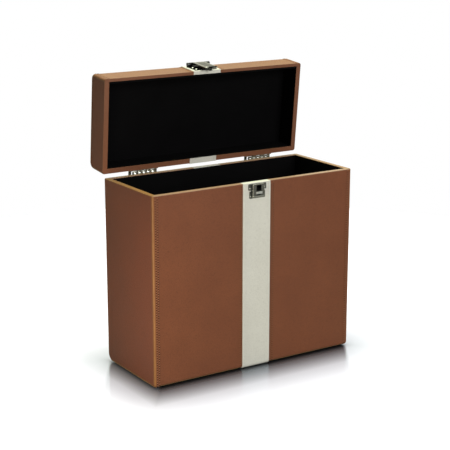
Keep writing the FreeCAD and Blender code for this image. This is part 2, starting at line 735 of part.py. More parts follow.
window_top = f"({latch_top} - latch_window_drop)"
window_foot = f"({window_top} - latch_window_height)"
window = rectangle(("-latch_window_width / 2", "latch_window_width / 2"), (window_foot, window_top))
front_wall = (f"{inner_cover} - {BEYOND}", f"{cover_face} + {BEYOND}")
pocket(cover, "XZ_Plane", window, *front_wall)

bolt_layer = (f"({latch_seat} + slide_gap)", f"({latch_seat} + slide_gap + bolt_plate_thickness)")
nose_face = f"({bolt_layer[1]} + bolt_nose_rise)"
toe_back = bolt_layer[0]
notch_back = f"({toe_back} + tongue_toe)"
tongue_top = f"({window_top} - tongue_top_room)"
tongue_foot = f"({tongue_top} - tongue_height)"
notch_top = f"({tongue_foot} + tongue_notch_depth)"
nose_top = f"({notch_top} - slide_gap)"
bolt_top = f"({tongue_foot} - slide_gap)"
bar_top = f"({window_foot} - thumb_bar_drop)"
bar_foot = f"({bar_top} - thumb_bar_height)"
neck_z = (f"({bar_foot} + thumb_neck_inset)", f"({bar_top} - thumb_neck_inset)")
neck_half = "(thumb_neck_width / 2)"
slot_x = (f"-({neck_half} + slide_gap)", f"{neck_half} + slide_gap")
slot_z = (f"{neck_z[0]} - bolt_travel - slide_gap", f"{neck_z[1]} + slide_gap")
pocket(cover, "XZ_Plane", rectangle(slot_x, slot_z), *front_wall)
node("latch_cover", cover)

shoulder_top = f"({bolt_top} - bolt_shoulder_drop)"
shoulder_foot = f"({shoulder_top} - bolt_shoulder_height)"
bolt_foot = f"({neck_z[0]} - bolt_tail)"
shank, arm = "(bolt_plate_width / 2)", "(bolt_shoulder_width / 2)"
bolt = doc.addObject("PartDesign::Body", "bolt")
bolt_outline = [
    (f"-{shank}", bolt_top),
    (shank, bolt_top),
    (shank, shoulder_top),
    (arm, shoulder_top),
    (arm, shoulder_foot),
    (shank, shoulder_foot),
    (shank, bolt_foot),
    (f"-{shank}", bolt_foot),
    (f"-{shank}", shoulder_foot),
    (f"-{arm}", shoulder_foot),
    (f"-{arm}", shoulder_top),
    (f"-{shank}", shoulder_top),
]
pad(bolt, "XZ_Plane", bolt_outline, *bolt_layer)
nose_half = "(bolt_nose_width / 2)"
nose = rectangle((f"-{nose_half}", nose_half), (shoulder_foot, nose_top))
pad(bolt, "XZ_Plane", nose, bolt_layer[1], nose_face)
bar_back = f"({cover_face} + slide_gap)"
pad(bolt, "XZ_Plane", rectangle((f"-{neck_half}", neck_half), neck_z), bolt_layer[1], bar_back)
bar_half = "(thumb_bar_width / 2)"
bar_front = f"({bar_back} + thumb_bar_thickness)"
pad(bolt, "XZ_Plane", rectangle((f"-{bar_half}", bar_half), (bar_foot, bar_top)), bar_back, bar_front)
round_edges(bolt, "soft_edge", lambda edge: flat_at(edge, "Y", -number(bar_front)))
node("latch_bolt", bolt)

spring_x = f"(({shank} + {arm}) / 2 + spring_offset)"
spring_foot = f"({inner_foot} + slide_gap + spring_wire_radius)"
spring_head = f"({shoulder_foot} - spring_wire_radius)"
spring_y = f"({latch_seat} + spring_back_room + spring_radius + spring_wire_radius)"
springs = []
for sign in (-1, 1):
    coil = doc.addObject("Part::Helix", "coil")
    coil.setExpression("Radius", formula("spring_radius"))
    coil.setExpression("Pitch", formula("spring_pitch"))
    coil.setExpression("Height", formula(f"{spring_head} - {spring_foot}"))
    at(coil, f"{sign} * {spring_x}", f"-{spring_y}", spring_foot)
    wire = doc.addObject("Part::Circle", "wire")
    wire.setExpression("Radius", formula("spring_wire_radius"))
    start = f"{sign} * {spring_x} + spring_radius"
    at(wire, start, f"-{spring_y}", spring_foot, TURNS["front"])
    spring = doc.addObject("Part::Sweep", "spring")
    spring.Sections = [wire]
    spring.Spine = (coil, ["Edge1"])
    spring.Solid = True
    spring.Frenet = True
    springs.append(spring)
node("latch_springs", group(springs))
node("latch_rivets", latch_rivets)

# ------------------------------------------------------------------------------- the hasp on the lid
hasp_leaf_half, hasp_half = "(hasp_leaf_width / 2)", "(hasp_width / 2)"
hasp_axis_y = f"({hasp_seat} + hasp_barrel_room + hasp_barrel_radius)"
hasp_outer = f"({hasp_axis_y} + hasp_barrel_radius)"
hasp_inner = f"({hasp_outer} - hasp_thickness)"
hasp_leaf = doc.addObject("PartDesign::Body", "leaf")
leaf_z = (hasp_foot, f"{hasp_axis_z} + hasp_barrel_radius")
leaf_outline = rectangle((f"-{hasp_leaf_half}", hasp_leaf_half), leaf_z)
pad(hasp_leaf, "XZ_Plane", leaf_outline, band_face, hasp_seat)
round_edges(hasp_leaf, "corner_round", lambda edge: runs_along(edge, "Y"))
barrel_inner = f"({hasp_half} + hasp_side_gap)"
barrels = []
for side in SIDES:
    x = span(side, barrel_inner, hasp_leaf_half)
    length = f"{x[1]} - ({x[0]})"
    barrels.append(rod("hasp_barrel_radius", length, x[0], f"-{hasp_axis_y}", hasp_axis_z, "right"))
    web_z = (f"{hasp_axis_z} - hasp_web_height / 2", f"{hasp_axis_z} + hasp_web_height / 2")
    barrels.append(box(x, (f"-{hasp_axis_y}", f"-{band_face}"), web_z))
pin_half = f"({hasp_leaf_half} + pin_overhang)"


def hasp_bore(room):
    """The bore for the pin, with the room it needs all round."""
    radius, length = f"hasp_pin_radius + {room}", f"2 * ({pin_half} + {BEYOND})"
    return rod(radius, length, f"-({pin_half} + {BEYOND})", f"-{hasp_axis_y}", hasp_axis_z, "right")


node("hasp_leaf", cut(fuse(hasp_leaf, *barrels), hasp_bore("pin_fit"), hasp_holes), "lid")
hasp_pin = rod("hasp_pin_radius", f"2 * {pin_half}", f"-{pin_half}", f"-{hasp_axis_y}", hasp_axis_z, "right")
node("hasp_pin", hasp_pin, "lid")
node("hasp_rivets", hasp_rivets, "lid")

hasp_tip = f"({body_rim} - hasp_reach)"
hasp_plate = doc.addObject("PartDesign::Body", "hasp_plate")
plate_outline = rectangle((f"-{hasp_half}", hasp_half), (hasp_tip, hasp_axis_z))
pad(hasp_plate, "XZ_Plane", plate_outline, hasp_inner, hasp_outer)
round_edges(
    hasp_plate,
    "corner_round",
    lambda edge: runs_along(edge, "Y") and abs(edge.BoundBox.ZMin - number(hasp_tip)) < 1e-4,
)
lip = doc.addObject("PartDesign::Body", "lip")
lip_foot = f"({hasp_tip} - hasp_lip_length)"
lip_outline = [
    (f"-{hasp_inner}", f"{hasp_tip} + hasp_lip_root"),
    (f"-{hasp_outer}", f"{hasp_tip} + hasp_lip_root"),
    (f"-{hasp_outer}", hasp_tip),
    (f"-({hasp_outer} + hasp_lip_flare)", lip_foot),
    (f"-({hasp_inner} + hasp_lip_flare)", lip_foot),
    (f"-{hasp_inner}", hasp_tip),
]
pad(lip, "YZ_Plane", lip_outline, "-hasp_lip_width / 2", "hasp_lip_width / 2")
tongue = doc.addObject("PartDesign::Body", "tongue")
tongue_outline = [
    (f"-{hasp_outer}", tongue_top),
    (f"-{hasp_outer}", tongue_foot),
    (f"-({nose_face} + slide_gap)", tongue_foot),
    (f"-({nose_face} + slide_gap)", notch_top),
    (f"-{notch_back}", notch_top),
    (f"-{notch_back}", tongue_foot),
    (f"-{toe_back}", tongue_foot),
    (f"-{toe_back}", tongue_top),
]
pad(tongue, "YZ_Plane", tongue_outline, "-tongue_width / 2", "tongue_width / 2")
knuckle = rod("hasp_barrel_radius", "hasp_width", f"-{hasp_half}", f"-{hasp_axis_y}", hasp_axis_z, "right")
node("hasp", cut(fuse(hasp_plate, lip, tongue, knuckle), hasp_bore("running_fit")), "lid")

# --------------------------------------------------------------------------- the handle on the lid
handle_z = f"({lid_top} + band_thickness + grip_radius + grip_clearance)"
bracket_seat = f"({lid_top} + bracket_thickness)"
for side in SIDES:
    foot = doc.addObject("PartDesign::Body", "bracket_foot")
    foot_x = span(side, bracket_inner, bracket_outer)
    foot_outline = rectangle(foot_x, ("-bracket_depth / 2", "bracket_depth / 2"))
    pad(foot, "XY_Plane", foot_outline, lid_top, bracket_seat)
    round_edges(foot, "corner_round", lambda edge: runs_along(edge, "Z"))
    lug_span = span(side, f"({lug_x} - lug_thickness / 2)", f"({lug_x} + lug_thickness / 2)")
    lug = box(lug_span, ("-lug_radius", "lug_radius"), (lid_top, handle_z))
    crown = rod("lug_radius", "lug_thickness", lug_span[0], "0", handle_z, "right")
    bore_start = f"{lug_span[0]} - {BEYOND}"
    bore_length = f"lug_thickness + 2 * {BEYOND}"
    bore = rod("handle_wire_radius + running_fit", bore_length, bore_start, "0", handle_z, "right")
    node(f"{side}_handle_bracket", cut(fuse(foot, lug, crown), bore, bracket_holes), "lid")
node("bracket_rivets", bracket_rivets, "lid")


def bend(x, y, radius, start):
    """A quarter of a ring of the bail's wire, about a point of its plane, from the start angle."""
    ring = doc.addObject("Part::Torus", "bend")
    ring.setExpression("Radius1", formula(radius))
    ring.setExpression("Radius2", formula("handle_wire_radius"))
    ring.Angle3 = 90
    return at(ring, x, y, handle_z, f"rotation(vector(0; 0; 1); {start})")


leg_x = f"({lug_x} - handle_leg_inset)"
leg_end = "(handle_reach - handle_corner_radius)"
bar_end = f"({leg_x} - handle_corner_radius)"
bail = [rod("handle_wire_radius", f"2 * {bar_end}", f"-{bar_end}", "handle_reach", handle_z, "right")]
pivot_start = f"({leg_x} + handle_bend_radius)"
pivot_end = f"({lug_x} + lug_thickness / 2 + handle_overhang)"
for side, sign in SIDES.items():
    x = span(side, pivot_start, pivot_end)
    bail.append(rod("handle_wire_radius", f"{x[1]} - ({x[0]})", x[0], "0", handle_z, "right"))
    leg_start = (f"{sign} * {leg_x}", "handle_bend_radius", handle_z)
    bail.append(rod("handle_wire_radius", f"{leg_end} - handle_bend_radius", *leg_start, "back"))
    inner_start = 180 if side == "right" else 270
    bail.append(bend(f"{sign} * {pivot_start}", "handle_bend_radius", "handle_bend_radius", inner_start))
    outer_start = 0 if side == "right" else 90
    bail.append(bend(f"{sign} * {bar_end}", leg_end, "handle_corner_radius", outer_start))
node("handle_bail", fuse(*bail), "lid")

grip_half = "(grip_length / 2)"
grip = doc.addObject("PartDesign::Body", "grip")
grip_bore = "(handle_wire_radius + pin_fit)"
grip_profile = sketch_on(
    grip,
    "XY_Plane",
    handle_z,
    [
        (f"-{grip_half}", grip_bore),
        (grip_half, grip_bore),
        (grip_half, "grip_end_radius"),
        (f"{grip_half} - grip_taper", "grip_radius"),
        (f"-({grip_half} - grip_taper)", "grip_radius"),
        (f"-{grip_half}", "grip_end_radius"),
    ],
)
grip_profile.setExpression("AttachmentOffset.Base.y", formula("handle_reach"))
turning = grip.newObject("PartDesign::Revolution", "turning")
turning.Profile = grip_profile
turning.ReferenceAxis = (grip_profile, ["H_Axis"])
turning.Angle = 360
node("handle_grip", grip, "lid")

# ---------------------------------------------------------------------------- checks and the files
doc.recompute()
for item in doc.Objects:
    if {"Invalid", "Error"} & set(item.State):
        raise RuntimeError(f"{item.Name} ({item.Label}) failed")
os.makedirs("parts", exist_ok=True)
for piece in nodes:
    if piece.Shape.isNull() or not piece.Shape.isValid() or not piece.Shape.Solids:
        raise RuntimeError(f"{piece.Label} has no valid solid")
    piece.Shape.exportStep(f"parts/{piece.Label}.step")
print(len(nodes), "nodes")
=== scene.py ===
import math

import bmesh
import bpy
from mathutils import Matrix, Vector


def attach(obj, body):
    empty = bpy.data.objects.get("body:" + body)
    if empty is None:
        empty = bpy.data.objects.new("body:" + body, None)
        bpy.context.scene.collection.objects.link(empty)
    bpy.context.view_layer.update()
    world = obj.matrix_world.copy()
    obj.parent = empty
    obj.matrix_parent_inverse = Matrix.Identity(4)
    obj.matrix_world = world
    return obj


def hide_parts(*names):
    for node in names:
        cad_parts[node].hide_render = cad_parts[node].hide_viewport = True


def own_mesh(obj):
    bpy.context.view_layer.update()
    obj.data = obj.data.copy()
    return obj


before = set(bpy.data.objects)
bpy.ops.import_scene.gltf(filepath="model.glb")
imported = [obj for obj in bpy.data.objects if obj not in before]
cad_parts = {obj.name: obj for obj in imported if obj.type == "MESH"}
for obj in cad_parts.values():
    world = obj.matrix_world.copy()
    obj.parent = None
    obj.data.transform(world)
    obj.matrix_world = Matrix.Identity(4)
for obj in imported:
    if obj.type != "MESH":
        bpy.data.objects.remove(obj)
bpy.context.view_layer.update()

# ------------------------------------------------------------------------------------------ camera
# A long lens, low and to the left of the front, that looks a little down into the open case.
# The whole case stands inside a square picture, and colours show as they are written.
sensor_width, lens_length = 36.0, 100.97
camera_place = (-1.0672, -1.6370, 0.7154)
camera_dip, camera_turn = 14.341, 32.880
camera_lens = bpy.data.cameras.new("camera")
camera_lens.sensor_width = sensor_width
camera_lens.lens = lens_length
camera = bpy.data.objects.new("camera", camera_lens)
camera.location = camera_place
camera.rotation_euler = (math.radians(90 - camera_dip), 0, -math.radians(camera_turn))
bpy.context.scene.collection.objects.link(camera)
bpy.context.scene.camera = camera
bpy.context.scene.view_settings.view_transform = "Standard"

# ------------------------------------------------------------------------------------------- floor
# A white polished sheet under the case. It mirrors the case faintly, and a painted grey shadow lies
# in front of the case and fades forward from its foot. Close round the foot, the floor's glow is
# painted weaker and its mirror image darker, as painted contact shade.
floor_radius = 1.05
floor_white = (0.66, 0.66, 0.66)
floor_matt = (0.64, 0.63, 0.735)
floor_bounce = (0.34, 0.34, 0.34)
glow_near, glow_far, glow_reach = 0.25, 0.9, 0.10
mirror_grey = (0.67, 0.79, 0.92)
contact_shade_grey = (0.29, 0.325, 0.36)
mirror_fade, contact_fade = 0.060, 0.007
mirror_share, mirror_blur = 0.42, 0.10
shade_tone = (0.022, 0.022, 0.025)
shade_way = (0.546, 0.838)
shade_reach = (0.085, 0.073)
shade_start = (0.25, 0.0)
shade_tail_share, shade_tail_length = 0.34, 4.2
shade_edge = 0.018
case_half_width, case_half_depth = 0.184, 0.0755


def add_node(tree, kind, feeds=None, **settings):
    """A shader node with its settings made, and its inputs fed by values or by other sockets."""
    made = tree.nodes.new("ShaderNode" + kind)
    for name, value in settings.items():
        setattr(made, name, value)
    for name, value in (feeds or {}).items():
        if isinstance(value, bpy.types.NodeSocket):
            tree.links.new(value, made.inputs[name])
        elif made.inputs[name].type == "RGBA":
            made.inputs[name].default_value = (*value, 1.0)
        else:
            made.inputs[name].default_value = value
    return made


def calculate(tree, operation, first, second=0.0):
    """One sum in a shader."""
    return add_node(tree, "Math", {0: first, 1: second}, operation=operation).outputs[0]


def blend(tree, share, one, other):
    """A colour between two others."""
    return add_node(tree, "Mix", {"Factor": share, 6: one, 7: other}, data_type="RGBA").outputs[2]


def rescale(tree, value, low, high, new_low, new_high, **settings):
    """A number carried over from one range to another, and held inside it."""
    feeds = {"Value": value, "From Min": low, "From Max": high, "To Min": new_low, "To Max": new_high}
    return add_node(tree, "MapRange", feeds, **settings).outputs[0]


def bare_material(name):
    """A new material with nothing in it but its output."""
    material = bpy.data.materials.new(name)
    material.use_nodes = True
    material.node_tree.nodes.clear()
    return material, material.node_tree, material.node_tree.nodes.new("ShaderNodeOutputMaterial")


def link_mesh(name, points, faces, material):
    """A mesh object from points in metres."""
    mesh = bpy.data.meshes.new(name)
    mesh.from_pydata(points, [], faces)
    mesh.materials.append(material)
    mesh.validate()
    mesh.update()
    made = bpy.data.objects.new(name, mesh)
    bpy.context.scene.collection.objects.link(made)
    return made


floor_material, tree, output = bare_material("floor_polish")
ray = add_node(tree, "LightPath")
place = add_node(tree, "SeparateXYZ", {0: add_node(tree, "TexCoord").outputs["Object"]})
outside = []
for axis, half in ((0, case_half_width), (1, case_half_depth)):
    past = calculate(tree, "SUBTRACT", calculate(tree, "ABSOLUTE", place.outputs[axis]), half)
    past = calculate(tree, "MAXIMUM", past)
    outside.append(calculate(tree, "MULTIPLY", past, past))
distance = calculate(tree, "SQRT", calculate(tree, "ADD", *outside))
nearness = calculate(tree, "EXPONENT", calculate(tree, "DIVIDE", distance, -mirror_fade))
contact = calculate(tree, "EXPONENT", calculate(tree, "DIVIDE", distance, -contact_fade))
# painted shadow: the case's footprint swept forward along shade_way, dark at the foot, fading over
# shade_reach
entries, exits, fades = [], [], []
for axis, half in ((0, case_half_width), (1, case_half_depth)):
    low_side = calculate(tree, "SUBTRACT", -half, place.outputs[axis])
    high_side = calculate(tree, "SUBTRACT", half, place.outputs[axis])
    entries.append(calculate(tree, "DIVIDE", low_side, shade_way[axis]))
    exits.append(calculate(tree, "DIVIDE", high_side, shade_way[axis]))
    faded = calculate(tree, "DIVIDE", entries[-1], shade_reach[axis])
    fades.append(calculate(tree, "ADD", faded, shade_start[axis]))
first_exit = calculate(tree, "MINIMUM", *exits)
last_entry = calculate(tree, "MAXIMUM", calculate(tree, "MAXIMUM", *entries))
crossing = calculate(tree, "SUBTRACT", first_exit, last_entry)
within = rescale(tree, crossing, 0.0, shade_edge, 0.0, 1.0, interpolation_type="SMOOTHSTEP")
farthest = calculate(tree, "MAXIMUM", *fades)
core = rescale(tree, farthest, 0.0, 1.0, 1 - shade_tail_share, 0.0)
tail = rescale(tree, farthest, 0.0, shade_tail_length, shade_tail_share, 0.0)
shade = calculate(tree, "MULTIPLY", within, calculate(tree, "ADD", core, tail))
seen = ray.outputs["Is Camera Ray"]
matt = add_node(tree, "BsdfDiffuse", {"Color": blend(tree, seen, floor_bounce, floor_matt), "Roughness": 0.3})
# painted shade: the floor's glow is weaker close to the case, darkening the floor round its foot
glow_level = calculate(tree, "MULTIPLY", seen, rescale(tree, distance, 0.0, glow_reach, glow_near, glow_far))
glow = add_node(tree, "Emission", {"Color": floor_white, "Strength": glow_level})
pale = add_node(tree, "AddShader", {0: matt.outputs[0], 1: glow.outputs[0]})
dark = add_node(tree, "BsdfDiffuse", {"Color": shade_tone})
seen_shade = calculate(tree, "MULTIPLY", seen, shade)
shaded = add_node(tree, "MixShader", {"Fac": seen_shade, 1: pale.outputs[0], 2: dark.outputs[0]})
# painted contact shade: the mirror image is darker grey right at the case's foot
mirror_tone = blend(tree, contact, mirror_grey, contact_shade_grey)
mirror = add_node(tree, "BsdfGlossy", {"Color": mirror_tone, "Roughness": mirror_blur})
mirror_level = calculate(tree, "MULTIPLY", nearness, mirror_share)
polished = add_node(tree, "MixShader", {"Fac": mirror_level, 1: shaded.outputs[0], 2: mirror.outputs[0]})
tree.links.new(polished.outputs[0], output.inputs["Surface"])
floor_turns = [math.radians(5 * i) for i in range(72)]
floor = link_mesh(
    "floor",
    [(math.cos(turn) * floor_radius, math.sin(turn) * floor_radius, 0) for turn in floor_turns],
    [tuple(range(72))],
    floor_material,
)

# ------------------------------------------------------------------------------------------ lights
# A large soft lamp overhead, a wide one before the front and a small one close to the left side.
# The room is white, and dimmer on the side that the camera is on, so that metal has dark and light.
room_white = (1.0, 1.0, 1.0)
mirrored_tint = (1.0, 0.98, 0.80)
fill_share = 0.36
depth_span, depth_levels = (-0.6, 0.4), (0.12, 1.2)
side_span, side_levels = (-0.6, 0.0), (0.04, 1.0)
room = bpy.data.worlds.new("studio")
bpy.context.scene.world = room
room.use_nodes = True
tree = room.node_tree
tree.nodes.clear()
output = tree.nodes.new("ShaderNodeOutputWorld")
ray = add_node(tree, "LightPath")
way = add_node(tree, "SeparateXYZ", {0: add_node(tree, "TexCoord").outputs["Generated"]})
depth_tone = rescale(tree, way.outputs[1], *depth_span, *depth_levels)
side_tone = rescale(tree, way.outputs[0], *side_span, *side_levels)
fill_level = calculate(tree, "MULTIPLY", side_tone, fill_share)
mirrored_level = calculate(tree, "MULTIPLY", side_tone, depth_tone)
backdrop = add_node(tree, "Background", {"Color": room_white, "Strength": 1.0})
mirrored = add_node(tree, "Background", {"Color": mirrored_tint, "Strength": mirrored_level})
fill = add_node(tree, "Background", {"Color": room_white, "Strength": fill_level})
shiny = calculate(tree, "MAXIMUM", ray.outputs["Is Glossy Ray"], ray.outputs["Is Transmission Ray"])
unseen = add_node(tree, "MixShader", {"Fac": shiny, 1: fill.outputs[0], 2: mirrored.outputs[0]})
direct = ray.outputs["Is Camera Ray"]
sky = add_node(tree, "MixShader", {"Fac": direct, 1: unseen.outputs[0], 2: backdrop.outputs[0]})
tree.links.new(sky.outputs[0], output.inputs["Surface"])


def softbox(name, place, aim, size, power, tint=(1.0, 1.0, 1.0)):
    """A rectangular lamp at a place, turned to a point."""
    lamp = bpy.data.lights.new(name, "AREA")
    lamp.shape = "RECTANGLE"
    lamp.size, lamp.size_y = size
    lamp.energy = power
    lamp.color = tint
    made = bpy.data.objects.new(name, lamp)
    made.location = place
    made.rotation_euler = (Vector(aim) - Vector(place)).to_track_quat("-Z", "Y").to_euler()
    made.visible_camera = False
    bpy.context.scene.collection.objects.link(made)


softbox(
    "overhead_lamp",
    place=(0.08, 0.30, 1.9),
    aim=(0.0, 0.0, 0.25),
    size=(1.1, 1.1),
    power=38,
    tint=(0.97, 1.03, 0.81),
)
softbox("front_lamp", place=(0.30, -1.80, 0.95), aim=(0.0, 0.0, 0.12), size=(0.9, 0.9), power=21.5)
softbox(
    "left_lamp",
    place=(-0.40, -0.17, 0.13),
    aim=(-0.18, -0.03, 0.13),
    size=(0.12, 0.34),
    power=0.72,
    tint=(1.0, 0.96, 0.79),
)

# ------------------------------------------------------------------------------------------ boards
# The walls of both halves are boards of pressed brown wood fibre, glued at the corners, with rails
# behind the rounded ones. The covering and the lining hide them.
board_tan = (0.36, 0.24, 0.14)
board_dark = (0.25, 0.16, 0.09)


def finish_nodes(material, *names):
    """Gives a material to carried-over pieces of the frame."""
    for name in names:
        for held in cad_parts[name].material_slots:
            held.material = material


def skin_over(tree, output, feeds):
    """The shader of an opaque surface, shown by the material."""
    skin = add_node(tree, "BsdfPrincipled", feeds)
    tree.links.new(skin.outputs[0], output.inputs["Surface"])


board_material, tree, output = bare_material("fibre_board")
spot = add_node(tree, "TexCoord").outputs["Object"]
fibres = add_node(tree, "TexNoise", {"Vector": spot, "Scale": 900.0, "Detail": 5.0, "Roughness": 0.7})
fibre_tone = blend(tree, fibres.outputs["Fac"], board_dark, board_tan)
fibre_bump = add_node(tree, "Bump", {"Height": fibres.outputs["Fac"], "Strength": 0.5, "Distance": 0.0003})
skin_over(tree, output, {"Base Color": fibre_tone, "Roughness": 0.85, "Normal": fibre_bump.outputs[0]})
finish_nodes(board_material, *[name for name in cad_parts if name.endswith(("_board", "_rail"))])

# ---------------------------------------------------------------------------------------- covering
# Brown leathercloth, a vinyl skin on cotton with a fine pebble grain, is glued round the boards. One
# piece wraps front, closed face and back. A flat panel covers each side, its colour a darker, redder
# copy of the cloth: painted shade for the sides.
leather_brown = (0.208, 0.063, 0.023)
leather_deep = (0.182, 0.054, 0.020)
leather_crease = (0.095, 0.028, 0.012)
# painted shade: the side panels take the cloth's colour made darker and redder
side_shade_brown = (0.196, 0.0485, 0.023)
side_shade_deep = (0.171, 0.0415, 0.020)
waxed_gold = (1.0, 0.93, 0.32)
covering_grain = 0.0011


def leather(name, base, deep, crease, grain, relief, roughness, wear_and_highlight=None, sheen=0.3):
    """A pebbled skin: rounded cells with creases between them, clouded colour and a dull shine."""
    material, tree, output = bare_material(name)
    spot = add_node(tree, "TexCoord").outputs["Object"]
    warp = add_node(tree, "TexNoise", {"Vector": spot, "Scale": 160.0, "Detail": 2.0})
    bent = add_node(tree, "VectorMath", {0: warp.outputs["Color"], "Scale": grain * 0.9}, operation="SCALE")
    place = add_node(tree, "VectorMath", {0: spot, 1: bent.outputs[0]}, operation="ADD")
    pebbles = add_node(
        tree,
        "TexVoronoi",
        {"Vector": place.outputs[0], "Scale": 1 / grain, "Smoothness": 0.35, "Randomness": 0.9},
        feature="SMOOTH_F1",
    )
    pores = add_node(tree, "TexNoise", {"Vector": spot, "Scale": 3.2 / grain, "Detail": 3, "Roughness": 0.6})
    clouds = add_node(tree, "TexNoise", {"Vector": spot, "Scale": 14.0, "Detail": 5, "Roughness": 0.55})
    clouded = blend(tree, rescale(tree, clouds.outputs["Fac"], 0.32, 0.68, 0.0, 1.0), deep, base)
    creases = rescale(tree, pebbles.outputs["Distance"], 0.45, 0.85, 0.0, 1.0)
    tone = blend(tree, calculate(tree, "MULTIPLY", creases, 0.55), clouded, crease)
    # the tape's gold, laid by the mesh attribute: partly rubbed wear, partly a painted highlight
    if wear_and_highlight:
        ridge = add_node(tree, "Attribute", attribute_name="wear_and_highlight")
        gold_amount = add_node(tree, "TexNoise", {"Vector": spot, "Scale": 90.0, "Detail": 4.0})
        gold_patches = rescale(tree, gold_amount.outputs["Fac"], 0.3, 0.7, 0.7, 1.0)
        tone = blend(tree, calculate(tree, "MULTIPLY", ridge.outputs["Fac"], gold_patches), tone, wear_and_highlight)
    pored = calculate(tree, "MULTIPLY", pores.outputs["Fac"], 0.35)
    height = calculate(tree, "SUBTRACT", pored, pebbles.outputs["Distance"])
    bump = add_node(tree, "Bump", {"Height": height, "Strength": relief, "Distance": grain * 0.25})
    skin_over(
        tree,
        output,
        {
            "Base Color": tone,
            "Roughness": rescale(tree, clouds.outputs["Fac"], 0.0, 1.0, roughness - 0.06, roughness + 0.06),
            "Normal": bump.outputs[0],
            "Specular IOR Level": 0.32,
            "Sheen Weight": sheen,
            "Sheen Roughness": 0.35,
            "Sheen Tint": waxed_gold,
        },
    )
    return material


covering_material = leather(
    "brown_leathercloth",
    leather_brown,
    leather_deep,
    leather_crease,
    grain=covering_grain,
    relief=0.5,
    roughness=0.5,
)
side_shade_material = leather(
    "side_leathercloth_shaded",
    side_shade_brown,
    side_shade_deep,
    leather_crease,
    grain=covering_grain,
    relief=0.5,
    roughness=0.5,
    sheen=0.15,
)
for half in ("body", "lid"):
    finish_nodes(covering_material, f"{half}_wrap")
    finish_nodes(side_shade_material, f"{half}_left_cover", f"{half}_right_cover")

# --------------------------------------------------------------------------------------- edge tape
# A folded tape of the same cloth is glued and sewn over the left and right edges of each half, from
# rim to rim. Its fold is coloured a golden tan, partly rubbed wear and partly a painted highlight of
# the rounded edge, strongest up the body's corners.
MM = 0.001
half_width, half_depth = 184.0, 75.5
# each half: its rim, its closed face, the way inward, and the rounding of its front and back corner
body_rim, lid_rim = 300.0, 300.3
half_shapes = {"body": (body_rim, 2.0, 1, 5.0, 13.0), "lid": (lid_rim, 344.3, -1, 8.0, 10.0)}
rim_strip = 1.0
fold_radius = 3.5
tape_rise, tape_root = 0.3, 0.6
tape_face_leg, tape_side_leg = 9.8, 4.7
# golden tan of the fold: partly rubbed wear, partly a painted highlight of the rounded edge
tape_gold_highlight = (0.300, 0.128, 0.034)
strip_grain = 0.0009
upright_gold, other_gold = 1.0, 0.25
hinge_pin = Vector((0, 80.5, 300.15)) * MM
open_angle = math.radians(84.4)


def arc(centre, radius, start, stop, steps):
    """Points of an arc in the side view, as (y, z, outward y, outward z)."""
    made = []
    for i in range(steps + 1):
        turn = math.radians(start + (stop - start) * i / steps)
        way = (math.cos(turn), math.sin(turn))
        made.append((centre[0] + radius * way[0], centre[1] + radius * way[1], *way))
    return made


def straight(start, stop, way, step=12.0):
    """Points along a straight run of the side view."""
    count = max(1, round(math.dist(start, stop) / step))
    return [
        (start[0] + (stop[0] - start[0]) * i / count, start[1] + (stop[1] - start[1]) * i / count, *way)
        for i in range(1, count)
    ]


def outline(half):
    """Half's outline seen from its side, from the front rim round its closed face to the back rim."""
    rim, closed, inward, front, back = half_shapes[half]
    rim -= inward * rim_strip
    front_mid = (front - half_depth, closed + inward * front)
    back_mid = (half_depth - back, closed + inward * back)
    start = (-half_depth, rim)
    return [
        (*start, -1, 0),
        *straight(start, (-half_depth, front_mid[1]), (-1, 0)),
        *arc(front_mid, front, 180, 180 + inward * 90, 8),
        *straight((front_mid[0], closed), (back_mid[0], closed), (0, -inward)),
        *arc(back_mid, back, -inward * 90, 0, 10),
        *straight((half_depth, back_mid[1]), (half_depth, rim), (1, 0)),
        (half_depth, rim, 1, 0),
    ]


def open_lid(points):
    """Turns points drawn with the lid shut back with the open lid."""
    turn = Matrix.Rotation(-open_angle, 3, "X")
    return [hinge_pin + turn @ (Vector(point) - hinge_pin) for point in points]


def put(half, points):
    """Points in millimetres, lid shut, to where the half stands, in metres."""
    made = [Vector(point) * MM for point in points]
    return open_lid(made) if half == "lid" else made


def tape_section():
    """Across the tape: (from the side face inward, from the outline inward, share of wear and painted
    highlight).
    """
    outer = [
        (tape_face_leg, tape_root, 0),
        (tape_face_leg, 0.0, 0),
        (tape_face_leg - 0.1, -tape_rise * 0.75, 0),
        (tape_face_leg - 0.35, -tape_rise, 0),
        (6.5, -tape_rise, 0),
        (4.3, -tape_rise, 0),
    ]
    for i in range(9):
        turn = math.radians(90 * i / 8)
        reach = fold_radius + tape_rise
        wear_and_highlight = max(0.0, math.sin(math.pi * i / 8)) ** 1.5
        outer.append((fold_radius - reach * math.sin(turn), fold_radius - reach * math.cos(turn), wear_and_highlight))
    outer += [
        (-tape_rise, 4.2, 0),
        (-tape_rise * 0.75, tape_side_leg - 0.1, 0),
        (tape_root, tape_side_leg, 0),
    ]
    reach = fold_radius - tape_root
    for i in range(6, -1, -1):
        turn = math.radians(90 * i / 6)
        outer.append((fold_radius - reach * math.sin(turn), fold_radius - reach * math.cos(turn), 0))
    return outer


def ring_faces(rings, around, base=0, looped=False):
    """Faces over equal rings of points. The ends are closed, or a loop joins them to each other."""
    count = rings * around
    faces = []
    for i in range(rings if looped else rings - 1):
        for j in range(around):
            a, b = i * around + j, i * around + (j + 1) % around
            faces.append((base + a, base + b, base + (b + around) % count, base + (a + around) % count))
    if not looped:
        faces.append(tuple(base + j for j in range(around)))
        faces.append(tuple(base + j for j in reversed(range(count - around, count))))
    return faces


